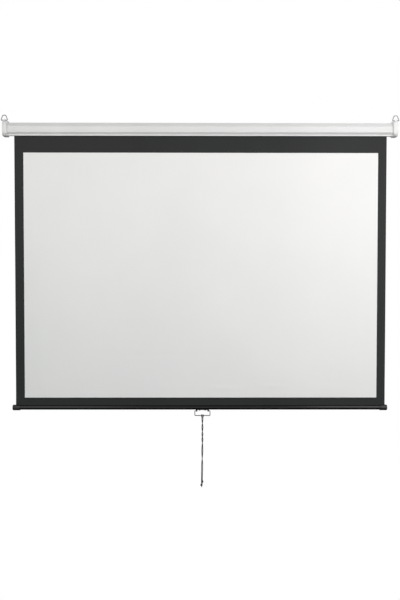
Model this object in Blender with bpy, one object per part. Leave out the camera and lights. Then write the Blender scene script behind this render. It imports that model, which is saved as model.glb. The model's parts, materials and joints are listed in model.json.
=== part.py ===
"""A manual pull-down projector screen: a spring roller in an octagonal case, a black-backed fabric with
a matt white face, and a round batten with a wire handle and a pull cord.

Metres. +X is to the right of someone who looks at the screen, -Y is towards them and +Z is up. The
origin is midway between the two points where hooks carry the hanging loops. The screen is drawn down,
as it hangs when in use.
"""

import math

import bmesh
import bpy
from mathutils import Vector

MM = 0.001

# Running clearance between pieces that touch or slide on the real screen
GAP = 0.0003

# Fabric: the viewing area, the black borders round it and the thicknesses of its two layers
VIEW_WIDTH = 1.500
VIEW_HEIGHT = 1.040
SIDE_BORDER = 0.037
TOP_BORDER = 0.071
BOTTOM_BORDER = 0.033
BASE_THICKNESS = 0.0004
FACE_THICKNESS = 0.0002
FABRIC_SHIFT = 0.002
FACE_SHIFT = 0.001

# Case: an octagonal extrusion with a slot at its lower front
CASE_MARGIN = 0.0265
CASE_ACROSS_FLATS = 0.055
CASE_WALL = 0.0015
CASE_Y = 0.005
LIP_HEIGHT = 0.0059
SLOT_FRONT_ROOM = 0.0050
SLOT_REAR_ROOM = 0.0024
REAR_LIP_HEIGHT = 0.004
PORT_RADIUS = 0.0034

# End caps, and the lug on top of each for a hanging loop
CAP_THICKNESS = 0.019
CAP_ABOVE = 0.035
CAP_BELOW = 0.031
CAP_FRONT_REACH = 0.0105
CAP_REAR_REACH = 0.0075
CAP_FRONT_RADIUS = 0.021
CAP_REAR_RADIUS = 0.008
CAP_EDGE_RADIUS = 0.003
CAP_INNER_EDGE = 0.0005
SOCKET_DEPTH = 0.008
LUG_WIDTH = 0.009
LUG_RADIUS = 0.0035
LUG_INSET = 0.005
LUG_PIVOT_HEIGHT = 0.0034

# Hanging loops, of bent wire
WIRE_RADIUS = 0.0019
LOOP_REACH = 0.0193
LOOP_ARCH_RADIUS = 0.0097
LOOP_FOOT_HALF = 0.0145
WIRE_BEND = 0.0025
WIRE_END_GAP = 0.001

# Brackets and the screws that hold cap, bracket and case together
BRACKET_THICKNESS = 0.002
SCREW_RADIUS = 0.0015
SCREW_HEAD_RADIUS = 0.0032
SCREW_HEAD_HEIGHT = 0.0020
CASE_SCREW_GRIP = 0.010
COUNTERBORE_DEPTH = 0.003

# Roller, its end plugs and the spring inside it
ROLLER_RADIUS = 0.0127
ROLLER_WALL = 0.0008
ROLLER_OFFSET = 0.002
WRAP_THICKNESS = 0.0009
FLANGE_RADIUS = 0.0175
FLANGE_THICKNESS = 0.0025
SPIGOT_LENGTH = 0.022
ARBOR_RADIUS = 0.003
SPEAR_WIDTH = 0.0026
SPEAR_HEIGHT = 0.0050
SPRING_LENGTH = 0.260
SPRING_COIL_RADIUS = 0.0075
SPRING_WIRE_RADIUS = 0.0008
SPRING_TURNS = 26
ANCHOR_LENGTH = 0.012
IDLER_BOSS_RADIUS = 0.006
PIN_DEPTH = 0.016

# Ratchet hub and pawls
HUB_THICKNESS = 0.006
HUB_RADIUS = 0.007
TOOTH_DEPTH = 0.0018
TEETH = 4
PAWL_THICKNESS = 0.004
PAWL_PIVOT_RADIUS = 0.0122
PAWL_TIP_RADIUS = 0.0010
PAWL_EYE_RADIUS = 0.0026
PAWL_PEG_RADIUS = 0.0012
PAWL_REACH = 0.0095
PAWL_CLEARANCE = 0.0005

# Batten, its end caps and the rod in the fabric's hem
BATTEN_RADIUS = 0.0095
BATTEN_WALL = 0.0012
BATTEN_OVERHANG = 0.012
BATTEN_SLOT = 0.0024
BATTEN_CAP_RADIUS = 0.012
BATTEN_CAP_LENGTH = 0.032
BATTEN_CAP_END = 0.004
HEM_ROD_RADIUS = 0.0025

# Handle: the bracket under the batten and the wire bail in its ears
HANDLE_SHIFT = 0.010
HANDLE_HALF_WIDTH = 0.0324
HANDLE_DROP = 0.0202
HANDLE_BEND = 0.0032
PIVOT_DROP = 0.0051
EAR_SPACING = 0.049
EAR_THICKNESS = 0.006
EAR_RADIUS = 0.0033
SADDLE_THICKNESS = 0.0015
SADDLE_ANGLE = 100.0
SADDLE_OVERHANG = 0.0035
SADDLE_SCREW_SPACING = 0.024
SADDLE_SCREW_RADIUS = 0.0013
SADDLE_SCREW_LENGTH = 0.0065

# Pull cord, doubled through its hitch on the handle's wire
CORD_RADIUS = 0.0018
HITCH_WIDTH = 0.0112
UPPER_KNOT_WIDTH = 0.0106
UPPER_KNOT_HEIGHT = 0.0166
LOWER_KNOT_WIDTH = 0.0102
LOWER_KNOT_HEIGHT = 0.0162

# How finely round shapes are faceted
ROUND = 28
SMALL_ROUND = 12
CORNER_STEPS = 7

# Places that follow from the sizes
FABRIC_WIDTH = VIEW_WIDTH + 2 * SIDE_BORDER
CASE_CLEAR_HALF = FABRIC_WIDTH / 2 + CASE_MARGIN
CASE_HALF = CASE_CLEAR_HALF + SOCKET_DEPTH
BRACKET_INNER = CASE_HALF + GAP
BRACKET_OUTER = BRACKET_INNER + BRACKET_THICKNESS
CAP_FLOOR = BRACKET_OUTER + GAP
CAP_OUTER = CASE_CLEAR_HALF + CAP_THICKNESS
LUG_X = CAP_OUTER - LUG_INSET
LUG_Z = -LOOP_REACH
CAP_TOP = LUG_Z - LUG_PIVOT_HEIGHT
CASE_Z = CAP_TOP - CAP_ABOVE
CASE_BOTTOM = CASE_Z - CASE_ACROSS_FLATS / 2
ROLLER_Y = CASE_Y + ROLLER_OFFSET
WRAP_INNER = ROLLER_RADIUS + GAP
WRAP_OUTER = WRAP_INNER + WRAP_THICKNESS
FABRIC_Y = ROLLER_Y - WRAP_OUTER - GAP - BASE_THICKNESS / 2
BATTEN_Z = CASE_BOTTOM - TOP_BORDER - VIEW_HEIGHT - BOTTOM_BORDER - BATTEN_RADIUS
BATTEN_HALF = FABRIC_WIDTH / 2 + BATTEN_OVERHANG
BORE_RADIUS = BATTEN_RADIUS - BATTEN_WALL
HANDLE_Z = BATTEN_Z - BATTEN_RADIUS - PIVOT_DROP
BAIL_WIRE_Z = HANDLE_Z - HANDLE_DROP
HUB_INNER = BRACKET_INNER - GAP - HUB_THICKNESS
FLANGE_OUTER = HUB_INNER - GAP
FLANGE_INNER = FLANGE_OUTER - FLANGE_THICKNESS
ROLLER_END = FLANGE_INNER - GAP
SPIGOT_END = FLANGE_INNER - SPIGOT_LENGTH
SPRING_END = SPIGOT_END - GAP - SPRING_LENGTH
ANCHOR_INNER = SPRING_END - GAP - ANCHOR_LENGTH

# The cord's two strands hang from the hitch. Each point is across, back and down from the hitch's
# middle, in millimetres. They lie beside each other with a few loose twists, and each ends in a knot.
FRONT_STRAND = (
    (-2.05, 0.0, 6.3),
    (-2.05, 0.0, 14.0),
    (-1.45, -1.45, 24.0),
    (0.0, -2.05, 33.0),
    (1.45, -1.45, 42.0),
    (2.05, 0.0, 51.0),
    (1.45, 1.45, 60.0),
    (0.0, 2.05, 69.0),
    (-1.45, 1.45, 74.5),
    (-2.05, 0.0, 80.0),
    (-1.45, -1.45, 85.5),
    (0.0, -2.05, 91.0),
    (1.45, -1.45, 97.5),
    (2.05, 0.0, 104.0),
    (1.45, 1.45, 110.5),
    (0.0, 2.05, 117.0),
    (-1.65, 1.5, 132.0),
    (-2.45, 0.0, 150.0),
    (-2.1, -1.5, 168.0),
    (-0.8, -2.05, 186.0),
    (0.6, -1.5, 200.0),
    (1.0, -0.35, 215.0),
    (0.9, -0.6, 230.0),
    (0.6, -1.15, 245.0),
    (0.0, -2.0, 262.0),
    (-0.45, -2.7, 277.0),
)
BACK_STRAND = (
    (2.05, 0.0, 6.3),
    (2.05, 0.0, 14.0),
    (1.45, 1.45, 24.0),
    (0.0, 2.05, 33.0),
    (-1.45, 1.45, 42.0),
    (-2.05, 0.0, 51.0),
    (-1.45, -1.45, 60.0),
    (0.0, -2.05, 69.0),
    (1.45, -1.45, 74.5),
    (2.05, 0.0, 80.0),
    (1.45, 1.45, 85.5),
    (0.0, 2.05, 91.0),
    (-1.45, 1.45, 97.5),
    (-2.05, 0.0, 104.0),
    (-1.45, -1.45, 110.5),
    (0.0, -2.05, 117.0),
    (1.3, -1.5, 132.0),
    (1.65, 0.0, 150.0),
    (0.8, 1.5, 168.0),
    (-0.8, 2.05, 186.0),
    (-2.45, 1.5, 200.0),
    (-3.15, 0.35, 215.0),
    (-3.3, 0.95, 230.0),
    (-3.5, 2.2, 245.0),
    (-3.75, 4.1, 262.0),
    (-3.75, 5.25, 277.0),
    (-3.65, 5.15, 287.0),
    (-3.65, 4.7, 294.0),
)

place_of = {}
finishes = {}


def clear_scene():
    for obj in list(bpy.data.objects):
        bpy.data.objects.remove(obj, do_unlink=True)


def finish(name, colour, roughness, metallic=0.0):
    """A Principled material, made once and shared by the pieces that have it."""
    if name not in finishes:
        made = bpy.data.materials.new(name)
        made.use_nodes = True
        shader = made.node_tree.nodes["Principled BSDF"]
        shader.inputs["Base Color"].default_value = (*colour, 1.0)
        shader.inputs["Roughness"].default_value = roughness
        shader.inputs["Metallic"].default_value = metallic
        made.diffuse_color = (*colour, 1.0)
        finishes[name] = made
    return finishes[name]


def white_enamel():
    return finish("white_enamel", (0.74, 0.75, 0.75), 0.38)


def white_plastic():
    return finish("white_plastic", (0.78, 0.78, 0.76), 0.45)


def zinc_wire():
    return finish("zinc_wire", (0.55, 0.56, 0.57), 0.3, 1.0)


def black_fabric():
    return finish("black_fabric", (0.022, 0.022, 0.023), 0.72)


def matt_white():
    return finish("matt_white", (0.86, 0.86, 0.85), 0.9)


def black_enamel():
    return finish("black_enamel", (0.012, 0.012, 0.013), 0.3)


def black_plastic():
    return finish("black_plastic", (0.018, 0.018, 0.018), 0.45)


def plain_steel():
    return finish("plain_steel", (0.48, 0.48, 0.49), 0.35, 1.0)


def white_nylon():
    return finish("white_nylon", (0.8, 0.79, 0.74), 0.5)


def black_cord():
    return finish("black_cord", (0.015, 0.015, 0.016), 0.85)


def carrier(name, at, parent=None):
    """An empty on a joint's axis, which the pieces that move together hang on."""
    obj = bpy.data.objects.new(name, None)
    bpy.context.scene.collection.objects.link(obj)
    place_of[obj.name] = Vector(at)
    obj.location = Vector(at)
    if parent:
        obj.parent = parent
        obj.location = Vector(at) - place_of[parent.name]
    return obj


def add(name, data, at, material, parent):
    """Puts a mesh or a curve in the scene at a world place, carried by an empty."""
    obj = bpy.data.objects.new(name, data)
    bpy.context.scene.collection.objects.link(obj)
    obj.parent = parent
    obj.location = Vector(at) - place_of[parent.name]
    data.materials.clear()
    data.materials.append(material)
    if obj.type == "MESH":
        data.shade_smooth()
        data.set_sharp_from_angle(angle=math.radians(32))
    return obj


def combine(obj, helper, operation):
    """Adds a Boolean with a helper that isn't a piece of its own."""
    helper.hide_render = True
    helper.display_type = "WIRE"
    modifier = obj.modifiers.new(helper.name, "BOOLEAN")
    modifier.operation = operation
    modifier.object = helper


def helper(obj, name, data, offset, operation):
    """Cuts or joins a helper placed at an offset from the piece's own origin."""
    tool = bpy.data.objects.new(name, data)
    bpy.context.scene.collection.objects.link(tool)
    tool.parent = obj.parent
    tool.location = obj.location + Vector(offset)
    combine(obj, tool, operation)


def cut(obj, name, data, offset=(0, 0, 0)):
    helper(obj, "cutter_" + name, data, offset, "DIFFERENCE")


def join(obj, name, data, offset=(0, 0, 0)):
    helper(obj, "added_" + name, data, offset, "UNION")


def baked(obj):
    """The mesh of an object with its modifiers applied, for copies that share it."""
    bpy.context.view_layer.update()
    graph = bpy.context.evaluated_depsgraph_get()
    return bpy.data.meshes.new_from_object(obj.evaluated_get(graph))


def mesh_of(name, shape):
    bmesh.ops.recalc_face_normals(shape, faces=shape.faces)
    mesh = bpy.data.meshes.new(name)
    shape.to_mesh(mesh)
    shape.free()
    return mesh


def loft(name, rings):
    """A closed solid through rings of points, all with the same count, with a flat face on each end."""
    shape = bmesh.new()
    made = [[shape.verts.new(point) for point in ring] for ring in rings]
    for low, high in zip(made, made[1:]):
        for i in range(len(low)):
            j = (i + 1) % len(low)
            shape.faces.new((low[i], low[j], high[j], high[i]))
    shape.faces.new(made[0][::-1])
    shape.faces.new(made[-1])
    return mesh_of(name, shape)


def prism(name, outline, start, end):
    """A closed outline of (y, z), drawn along X."""
    return loft(name, [[(x, y, z) for y, z in outline] for x in (start, end)])


def block(name, x, y, z):
    """A box from its lower and upper limits on each axis."""
    outline = [(y[0], z[0]), (y[1], z[0]), (y[1], z[1]), (y[0], z[1])]
    return prism(name, outline, x[0], x[1])


def circle(radius, sides, centre=(0.0, 0.0)):
    turns = [2 * math.pi * (i + 0.5) / sides for i in range(sides)]
    return [(centre[0] + radius * math.cos(a), centre[1] + radius * math.sin(a)) for a in turns]


def turned(name, profile, sides):
    """A solid turned about X from points of (x, radius): a ring, or closed at both ends on the axis."""
    shape = bmesh.new()
    points = [shape.verts.new((x, 0.0, radius)) for x, radius in profile]
    edges = [shape.edges.new(pair) for pair in zip(points, points[1:])]
    if profile[0][1] > 0:
        edges.append(shape.edges.new((points[-1], points[0])))
    bmesh.ops.spin(
        shape,
        geom=points + edges,
        cent=(0, 0, 0),
        axis=(1, 0, 0),
        angle=2 * math.pi,
        steps=sides,
        use_merge=True,
    )
    bmesh.ops.remove_doubles(shape, verts=shape.verts, dist=1e-6)
    return mesh_of(name, shape)


def sleeve(name, start, end, inner, outer, sides):
    return turned(name, [(start, inner), (start, outer), (end, outer), (end, inner)], sides)


def filleted(corners, radii, steps, closed=True):
    """The corners with each one turned into an arc of its radius, in two or three dimensions."""
    corners = [Vector(corner) for corner in corners]
    made = []
    for i, corner in enumerate(corners):
        if not closed and i in (0, len(corners) - 1):
            made.append(corner)
            continue
        before = (corners[i - 1] - corner).normalized()
        after = (corners[(i + 1) % len(corners)] - corner).normalized()
        half = before.angle(after) / 2
        reach = radii[i] / math.tan(half)
        middle = corner + (before + after).normalized() * radii[i] / math.sin(half)
        first = corner + before * reach - middle
        last = corner + after * reach - middle
        sweep = math.pi - 2 * half
        for k in range(steps + 1):
            share = k / steps
            turn = first * math.sin((1 - share) * sweep) + last * math.sin(share * sweep)
            made.append(middle + turn / math.sin(sweep))
    return made


def offset_path(points, distance, closed=False):
    """The path moved to the right of its own direction, with mitred corners."""
    points = [Vector(point) for point in points]
    count = len(points)
    moved = []
    for i, point in enumerate(points):
        sides = []
        for a, b in ((i - 1, i), (i, i + 1)):
            if closed or (a >= 0 and b < count):
                along = (points[b % count] - points[a % count]).normalized()
                sides.append(Vector((along.y, -along.x)))
        mean = sum(sides, Vector((0.0, 0.0))).normalized()
        moved.append(point + mean * distance / mean.dot(sides[0]))
    return moved


def strip(points, thickness):
    """The outline of a sheet whose middle follows the points."""
    right = offset_path(points, thickness / 2)
    left = offset_path(points, -thickness / 2)
    return right + left[::-1]


def smooth(points, steps):
    """Points read from a smooth curve through the route's own points."""
    ends = [points[0] * 2 - points[1]] + points + [points[-1] * 2 - points[-2]]
    made = []
    for i in range(1, len(ends) - 2):
        a, b, c, d = ends[i - 1 : i + 3]
        for k in range(steps):
            t = k / steps
            bend = (2 * a - 5 * b + 4 * c - d) * t * t + (3 * b - a - 3 * c + d) * t**3
            made.append((2 * b + (c - a) * t + bend) / 2)
    return made + [points[-1]]


def wire(name, points, radius, resolution):
    """A round wire or cord along the points, closed at both ends."""
    curve = bpy.data.curves.new(name, "CURVE")
    curve.dimensions = "3D"
    curve.bevel_depth = radius
    curve.bevel_resolution = resolution
    curve.use_fill_caps = True
    spline = curve.splines.new("POLY")
    spline.points.add(len(points) - 1)
    for spot, point in zip(spline.points, points):
        spot.co = (*point, 1.0)
    return curve


def case_outline():
    """The case's outer corners as (y, z) from its middle, from the slot's front lip up and round."""
    half = CASE_ACROSS_FLATS / 2
    corner = half * math.tan(math.pi / 8)
    lip = FABRIC_Y - CASE_Y - SLOT_FRONT_ROOM - CASE_WALL
    return [
        (lip, -half),
        (lip, LIP_HEIGHT - half),
        (-half, LIP_HEIGHT + lip),
        (-half, corner),
        (-corner, half),
        (corner, half),
        (half, corner),
        (half, -corner),
        (corner, -half),
    ]


def port_places():
    """The middles of the three screw ports, in corners of the case, as (y, z) from its middle."""
    corner = (CASE_ACROSS_FLATS / 2 - CASE_WALL) / math.cos(math.pi / 8)
    reach = corner - PORT_RADIUS
    turns = [math.radians(degrees) for degrees in (67.5, 112.5, -67.5)]
    return [(reach * math.cos(a), reach * math.sin(a)) for a in turns]


def make_case(carrier_of_case):
    """The extrusion. Its wall starts at the slot's front lip and ends behind the slot."""
    half = CASE_ACROSS_FLATS / 2
    rear = FABRIC_Y - CASE_Y + SLOT_REAR_ROOM
    wall = case_outline() + [(rear, -half), (rear, REAR_LIP_HEIGHT - half)]
    outline = [Vector(point) for point in wall] + offset_path(wall, CASE_WALL)[::-1]
    middle = (0, CASE_Y, CASE_Z)
    mesh = prism("case_shell", outline, -CASE_HALF, CASE_HALF)
    case = add("case_shell", mesh, middle, white_enamel(), carrier_of_case)
    for i, (y, z) in enumerate(port_places()):
        boss = prism("port", circle(PORT_RADIUS, SMALL_ROUND), GAP - CASE_HALF, CASE_HALF - GAP)
        join(case, f"port_{i}", boss, (0, y, z))
    for i, (y, z) in enumerate(port_places()):
        bore = prism("bore", circle(SCREW_RADIUS + GAP, 8), -CASE_HALF - MM, CASE_HALF + MM)
        cut(case, f"bore_{i}", bore, (0, y, z))


def cap_ring(x, inset):
    """The cap's rounded outline at x, drawn in by inset, from the middle of the case."""
    front = -CASE_ACROSS_FLATS / 2 - CAP_FRONT_REACH + inset
    rear = CASE_ACROSS_FLATS / 2 + CAP_REAR_REACH - inset
    low = inset - CAP_BELOW
    high = CAP_ABOVE - inset
    corners = [(front, low), (rear, low), (rear, high), (front, high)]
    large = CAP_FRONT_RADIUS - inset
    small = CAP_REAR_RADIUS - inset
    return [(x, p.x, p.y) for p in filleted(corners, [large, small, small, large], CORNER_STEPS)]


def lug_outline(radius, foot, sides):
    """A tab with a half-round top, centred on its pivot."""
    turns = [math.pi * i / sides for i in range(sides + 1)]
    return [(radius * math.cos(a), radius * math.sin(a)) for a in turns] + [(-radius, -foot), (radius, -foot)]


def make_cap(name, side, carrier_of_case):
    """A moulded cap: a socket for the case's end, a pocket for the bracket, screw holes and the loop's lug."""
    rings = [
        cap_ring(side * CASE_CLEAR_HALF, CAP_INNER_EDGE),
        cap_ring(side * (CASE_CLEAR_HALF + CAP_INNER_EDGE), 0.0),
    ]
    for degrees in (0, 30, 60, 90):
        a = math.radians(degrees)
        x = CAP_OUTER - CAP_EDGE_RADIUS * (1 - math.sin(a))
        rings.append(cap_ring(side * x, CAP_EDGE_RADIUS * (1 - math.cos(a))))
    cap = add(name, loft(name, rings), (0, CASE_Y, CASE_Z), white_plastic(), carrier_of_case)
    lug = prism("lug", lug_outline(LUG_RADIUS, LUG_PIVOT_HEIGHT + MM, 8), -LUG_WIDTH / 2, LUG_WIDTH / 2)
    lug_place = (side * LUG_X, -CASE_Y, LUG_Z - CASE_Z)
    join(cap, name + "_lug", lug, lug_place)
    eye = prism("eye", circle(WIRE_RADIUS + GAP, SMALL_ROUND), -LUG_WIDTH, LUG_WIDTH)
    cut(cap, name + "_eye", eye, lug_place)
    socket = offset_path(case_outline(), -GAP, closed=True)
    ends = sorted((side * (CASE_CLEAR_HALF - MM), side * CAP_FLOOR))
    cut(cap, name + "_socket", prism("socket", socket, *ends))
    for i, (y, z) in enumerate(port_places()):
        seat = CAP_OUTER - COUNTERBORE_DEPTH
        hole = SCREW_RADIUS + GAP
        head = SCREW_HEAD_RADIUS + 2 * GAP
        profile = [
            (side * (CASE_CLEAR_HALF - MM), 0.0),
            (side * (CASE_CLEAR_HALF - MM), hole),
            (side * seat, hole),
            (side * seat, head),
            (side * (CAP_OUTER + MM), head),
            (side * (CAP_OUTER + MM), 0.0),
        ]
        cut(cap, f"{name}_screw_{i}", turned("screw_hole", profile, SMALL_ROUND), (0, y, z))


def make_bracket(name, side, opening, carrier_of_case):
    """A steel plate between the case's end and the cap's floor."""
    outline = [Vector(point) for point in case_outline()]
    ends = sorted((side * BRACKET_INNER, side * BRACKET_OUTER))
    plate = prism(name, outline, *ends)
    bracket = add(name, plate, (0, CASE_Y, CASE_Z), plain_steel(), carrier_of_case)
    cut(bracket, name + "_centre", opening, (side * BRACKET_INNER, ROLLER_OFFSET, 0))
    for i, (y, z) in enumerate(port_places()):
        hole = prism("hole", circle(SCREW_RADIUS + GAP, 8), ends[0] - MM, ends[1] + MM)
        cut(bracket, f"{name}_hole_{i}", hole, (0, y, z))


def screw_mesh(name, radius, length, parent):
    """A pan-head screw along +X from its head's underside at the origin, with a cross recess."""
    head = SCREW_HEAD_RADIUS
    tall = SCREW_HEAD_HEIGHT
    profile = [
        (length, 0.0),
        (length - radius, radius),
        (0.0, radius),
        (0.0, head),
        (-0.55 * tall, head),
        (-0.90 * tall, 0.72 * head),
        (-tall, 0.0),
    ]
    model = add(name, turned(name, profile, SMALL_ROUND), (0, 0, 0), plain_steel(), parent)
    arm = 0.55 * head
    thin = 0.14 * head
    cross = [(arm, thin), (thin, thin), (thin, arm), (-thin, arm), (-thin, thin), (-arm, thin)]
    cross += [(-y, -z) for y, z in cross]
    cut(model, name + "_cross", prism("cross", cross, -2 * tall, -0.45 * tall))
    mesh = baked(model)
    for obj in (model.modifiers[0].object, model):
        bpy.data.objects.remove(obj, do_unlink=True)
    return mesh


def make_cap_screws(carrier_of_case):
    """Three screws through each cap and bracket, into the case's ports."""
    seat = CAP_OUTER - COUNTERBORE_DEPTH
    length = seat - CASE_HALF + CASE_SCREW_GRIP
    mesh = screw_mesh("cap_screw", SCREW_RADIUS, length, carrier_of_case)
    for side, word in ((-1, "left"), (1, "right")):
        for i, (y, z) in enumerate(port_places()):
            at = (side * (seat + GAP), CASE_Y + y, CASE_Z + z)
            screw = add(f"{word}_cap_screw_{i + 1}", mesh, at, plain_steel(), carrier_of_case)
            if side > 0:
                screw.rotation_euler = (0, 0, math.pi)


def make_loop(name, side, carrier_of_loop):
    """An arch of wire whose two feet turn in to the lug's eye."""
    foot = LOOP_FOOT_HALF
    top = LOOP_REACH + WIRE_RADIUS
    spring_line = top - LOOP_ARCH_RADIUS
    turns = [math.pi * i / 14 for i in range(15)]
    bend = [(LOOP_ARCH_RADIUS * math.cos(a), LOOP_ARCH_RADIUS * math.sin(a)) for a in turns]
    arch = [Vector((x, 0, spring_line + z)) for x, z in bend]
    legs = [(WIRE_END_GAP, 0, 0), (foot, 0, 0), (LOOP_ARCH_RADIUS, 0, spring_line)]
    right = filleted(legs, [0, WIRE_BEND, 0], 5, closed=False)[:-1]
    left = [Vector((-p.x, p.y, p.z)) for p in right[::-1]]
    data = wire(name, right + arch + left, WIRE_RADIUS, 2)
    add(name, data, (side * LUG_X, 0, LUG_Z), zinc_wire(), carrier_of_loop)


def make_spring(carrier_of_case):
    """The torsion spring between the turning plug and the fixed anchor, both ends run straight into them."""
    tail = 2 * SPRING_WIRE_RADIUS
    start = -SPIGOT_END + GAP + tail
    end = -SPRING_END - tail
    steps = 10 * SPRING_TURNS
    points = [Vector((start - tail, SPRING_COIL_RADIUS, 0))]
    for i in range(steps + 1):
        a = 2 * math.pi * i / 10
        x = start + (end - start) * i / steps
        points.append(Vector((x, SPRING_COIL_RADIUS * math.cos(a), SPRING_COIL_RADIUS * math.sin(a))))
    points.append(Vector((end + tail, SPRING_COIL_RADIUS, 0)))
    least = (end - start) / SPRING_TURNS - 2 * SPRING_WIRE_RADIUS
    print(f"roller_spring: least gap between its turns {least / MM:.2f} mm")
    data = wire("roller_spring", points, SPRING_WIRE_RADIUS, 1)
    add("roller_spring", data, (0, ROLLER_Y, CASE_Z), plain_steel(), carrier_of_case)


def make_arbor(carrier_of_case):
    """The fixed rod. The bracket's slot holds its flat spear, so it can't turn."""
    middle = (0, ROLLER_Y, CASE_Z)
    start = -(BRACKET_INNER - GAP)
    end = -ANCHOR_INNER
    profile = [(start, 0.0), (start, ARBOR_RADIUS), (end, ARBOR_RADIUS), (end, 0.0)]
    arbor = add("spring_arbor", turned("arbor", profile, 16), middle, plain_steel(), carrier_of_case)
    spear = block(
        "spear",
        (-BRACKET_OUTER, start + 2 * MM),
        (-SPEAR_WIDTH / 2, SPEAR_WIDTH / 2),
        (-SPEAR_HEIGHT / 2, SPEAR_HEIGHT / 2),
    )
    join(arbor, "spear", spear)
    hub = []
    for tooth in range(TEETH):
        for step in range(7):
            turn = 2 * math.pi * (tooth + step / 6.02) / TEETH
            radius = HUB_RADIUS - TOOTH_DEPTH * (1 - step / 6)
            hub.append((radius * math.cos(turn), radius * math.sin(turn)))
    mesh = prism("ratchet_hub", hub, -(BRACKET_INNER - GAP), -HUB_INNER)
    ratchet = add("ratchet_hub", mesh, middle, plain_steel(), carrier_of_case)
    bore = circle(ARBOR_RADIUS + GAP, 16)
    cut(ratchet, "hub_bore", prism("hub_bore", bore, -BRACKET_OUTER, -FLANGE_INNER))
    anchor = sleeve(
        "spring_anchor",
        -SPRING_END + GAP,
        -ANCHOR_INNER,
        ARBOR_RADIUS + GAP,
        ROLLER_RADIUS - ROLLER_WALL - 2 * GAP,
        ROUND,
    )
    add("spring_anchor", anchor, middle, white_nylon(), carrier_of_case)


def pawl_tip():
    """Where the pawl's tip is centred, just clear of the ratchet hub, as (y, z) from the roller's axis."""
    reach = HUB_RADIUS + PAWL_CLEARANCE + PAWL_TIP_RADIUS
    height = (reach**2 + PAWL_PIVOT_RADIUS**2 - PAWL_REACH**2) / (2 * PAWL_PIVOT_RADIUS)
    return (math.sqrt(reach**2 - height**2), height)


def make_pawl(name, turn, carrier_of_pawl):
    """A tapered lever on its peg, from an eye at the pivot to a tip near the hub."""
    y, z = pawl_tip()
    z -= PAWL_PIVOT_RADIUS
    along = math.atan2(z, y)
    lean = math.acos((PAWL_EYE_RADIUS - PAWL_TIP_RADIUS) / math.hypot(y, z))
    outline = []
    for centre, radius, start, sweep in (
        ((y, z), PAWL_TIP_RADIUS, along - lean, 2 * lean),
        ((0.0, 0.0), PAWL_EYE_RADIUS, along + lean, 2 * (math.pi - lean)),
    ):
        for k in range(7):
            a = start + sweep * k / 6
            outline.append((centre[0] + radius * math.cos(a), centre[1] + radius * math.sin(a)))
    cos = math.cos(turn)
    sin = math.sin(turn)
    outline = [(y * cos - z * sin, y * sin + z * cos) for y, z in outline]
    outer = -(FLANGE_OUTER + GAP + PAWL_THICKNESS)
    mesh = prism(name, outline, outer, outer + PAWL_THICKNESS)
    at = Vector(place_of[carrier_of_pawl.name])
    at.x = 0
    pawl = add(name, mesh, at, plain_steel(), carrier_of_pawl)
    eye = prism("eye", circle(PAWL_PEG_RADIUS + GAP, SMALL_ROUND), outer - MM, outer + PAWL_THICKNESS + MM)
    cut(pawl, name + "_eye", eye)


def make_roller(carrier_of_roller):
    """The tube, its two end plugs, the idler pin and the fabric that stays wound on it."""
    middle = (0, ROLLER_Y, CASE_Z)
    tube = sleeve("roller_tube", -ROLLER_END, ROLLER_END, ROLLER_RADIUS - ROLLER_WALL, ROLLER_RADIUS, ROUND)
    add("roller_tube", tube, middle, plain_steel(), carrier_of_roller)
    wrap = sleeve("fabric_wrap", -FABRIC_WIDTH / 2, FABRIC_WIDTH / 2, WRAP_INNER, WRAP_OUTER, ROUND)
    add("fabric_wrap", wrap, (FABRIC_SHIFT, ROLLER_Y, CASE_Z), black_fabric(), carrier_of_roller)

    spigot = ROLLER_RADIUS - ROLLER_WALL - GAP
    bore = ARBOR_RADIUS + GAP
    profile = [
        (-FLANGE_OUTER, bore),
        (-FLANGE_OUTER, FLANGE_RADIUS),
        (-FLANGE_INNER, FLANGE_RADIUS),
        (-FLANGE_INNER, spigot),
        (-SPIGOT_END, spigot),
        (-SPIGOT_END, bore),
    ]
    plug = turned("spring_end_plug", profile, ROUND)
    plug = add("spring_end_plug", plug, middle, white_nylon(), carrier_of_roller)
    for i, way in enumerate((1, -1)):
        peg = prism(
            "peg",
            circle(PAWL_PEG_RADIUS, SMALL_ROUND),
            -(FLANGE_OUTER + GAP + PAWL_THICKNESS),
            -(FLANGE_OUTER - FLANGE_THICKNESS / 2),
        )
        join(plug, f"peg_{i}", peg, (0, 0, way * PAWL_PIVOT_RADIUS))

    boss = BRACKET_INNER - 2 * GAP
    profile = [
        (SPIGOT_END, bore),
        (SPIGOT_END, spigot),
        (FLANGE_INNER, spigot),
        (FLANGE_INNER, FLANGE_RADIUS),
        (FLANGE_OUTER, FLANGE_RADIUS),
        (FLANGE_OUTER, IDLER_BOSS_RADIUS),
        (boss, IDLER_BOSS_RADIUS),
        (boss, bore),
    ]
    idler = turned("idler_end_plug", profile, ROUND)
    add("idler_end_plug", idler, middle, white_nylon(), carrier_of_roller)
    start = FLANGE_INNER - PIN_DEPTH
    profile = [(start, 0.0), (start, ARBOR_RADIUS), (BRACKET_OUTER, ARBOR_RADIUS), (BRACKET_OUTER, 0.0)]
    add("idler_pin", turned("idler_pin", profile, 16), middle, plain_steel(), carrier_of_roller)


def hem_place():
    """The hem's middle radius, and its centre as (y, z) from the batten's axis."""
    middle = HEM_ROD_RADIUS + GAP + BASE_THICKNESS / 2
    reach = BORE_RADIUS - GAP - middle - BASE_THICKNESS / 2
    return middle, (middle, math.sqrt(reach**2 - middle**2))


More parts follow.
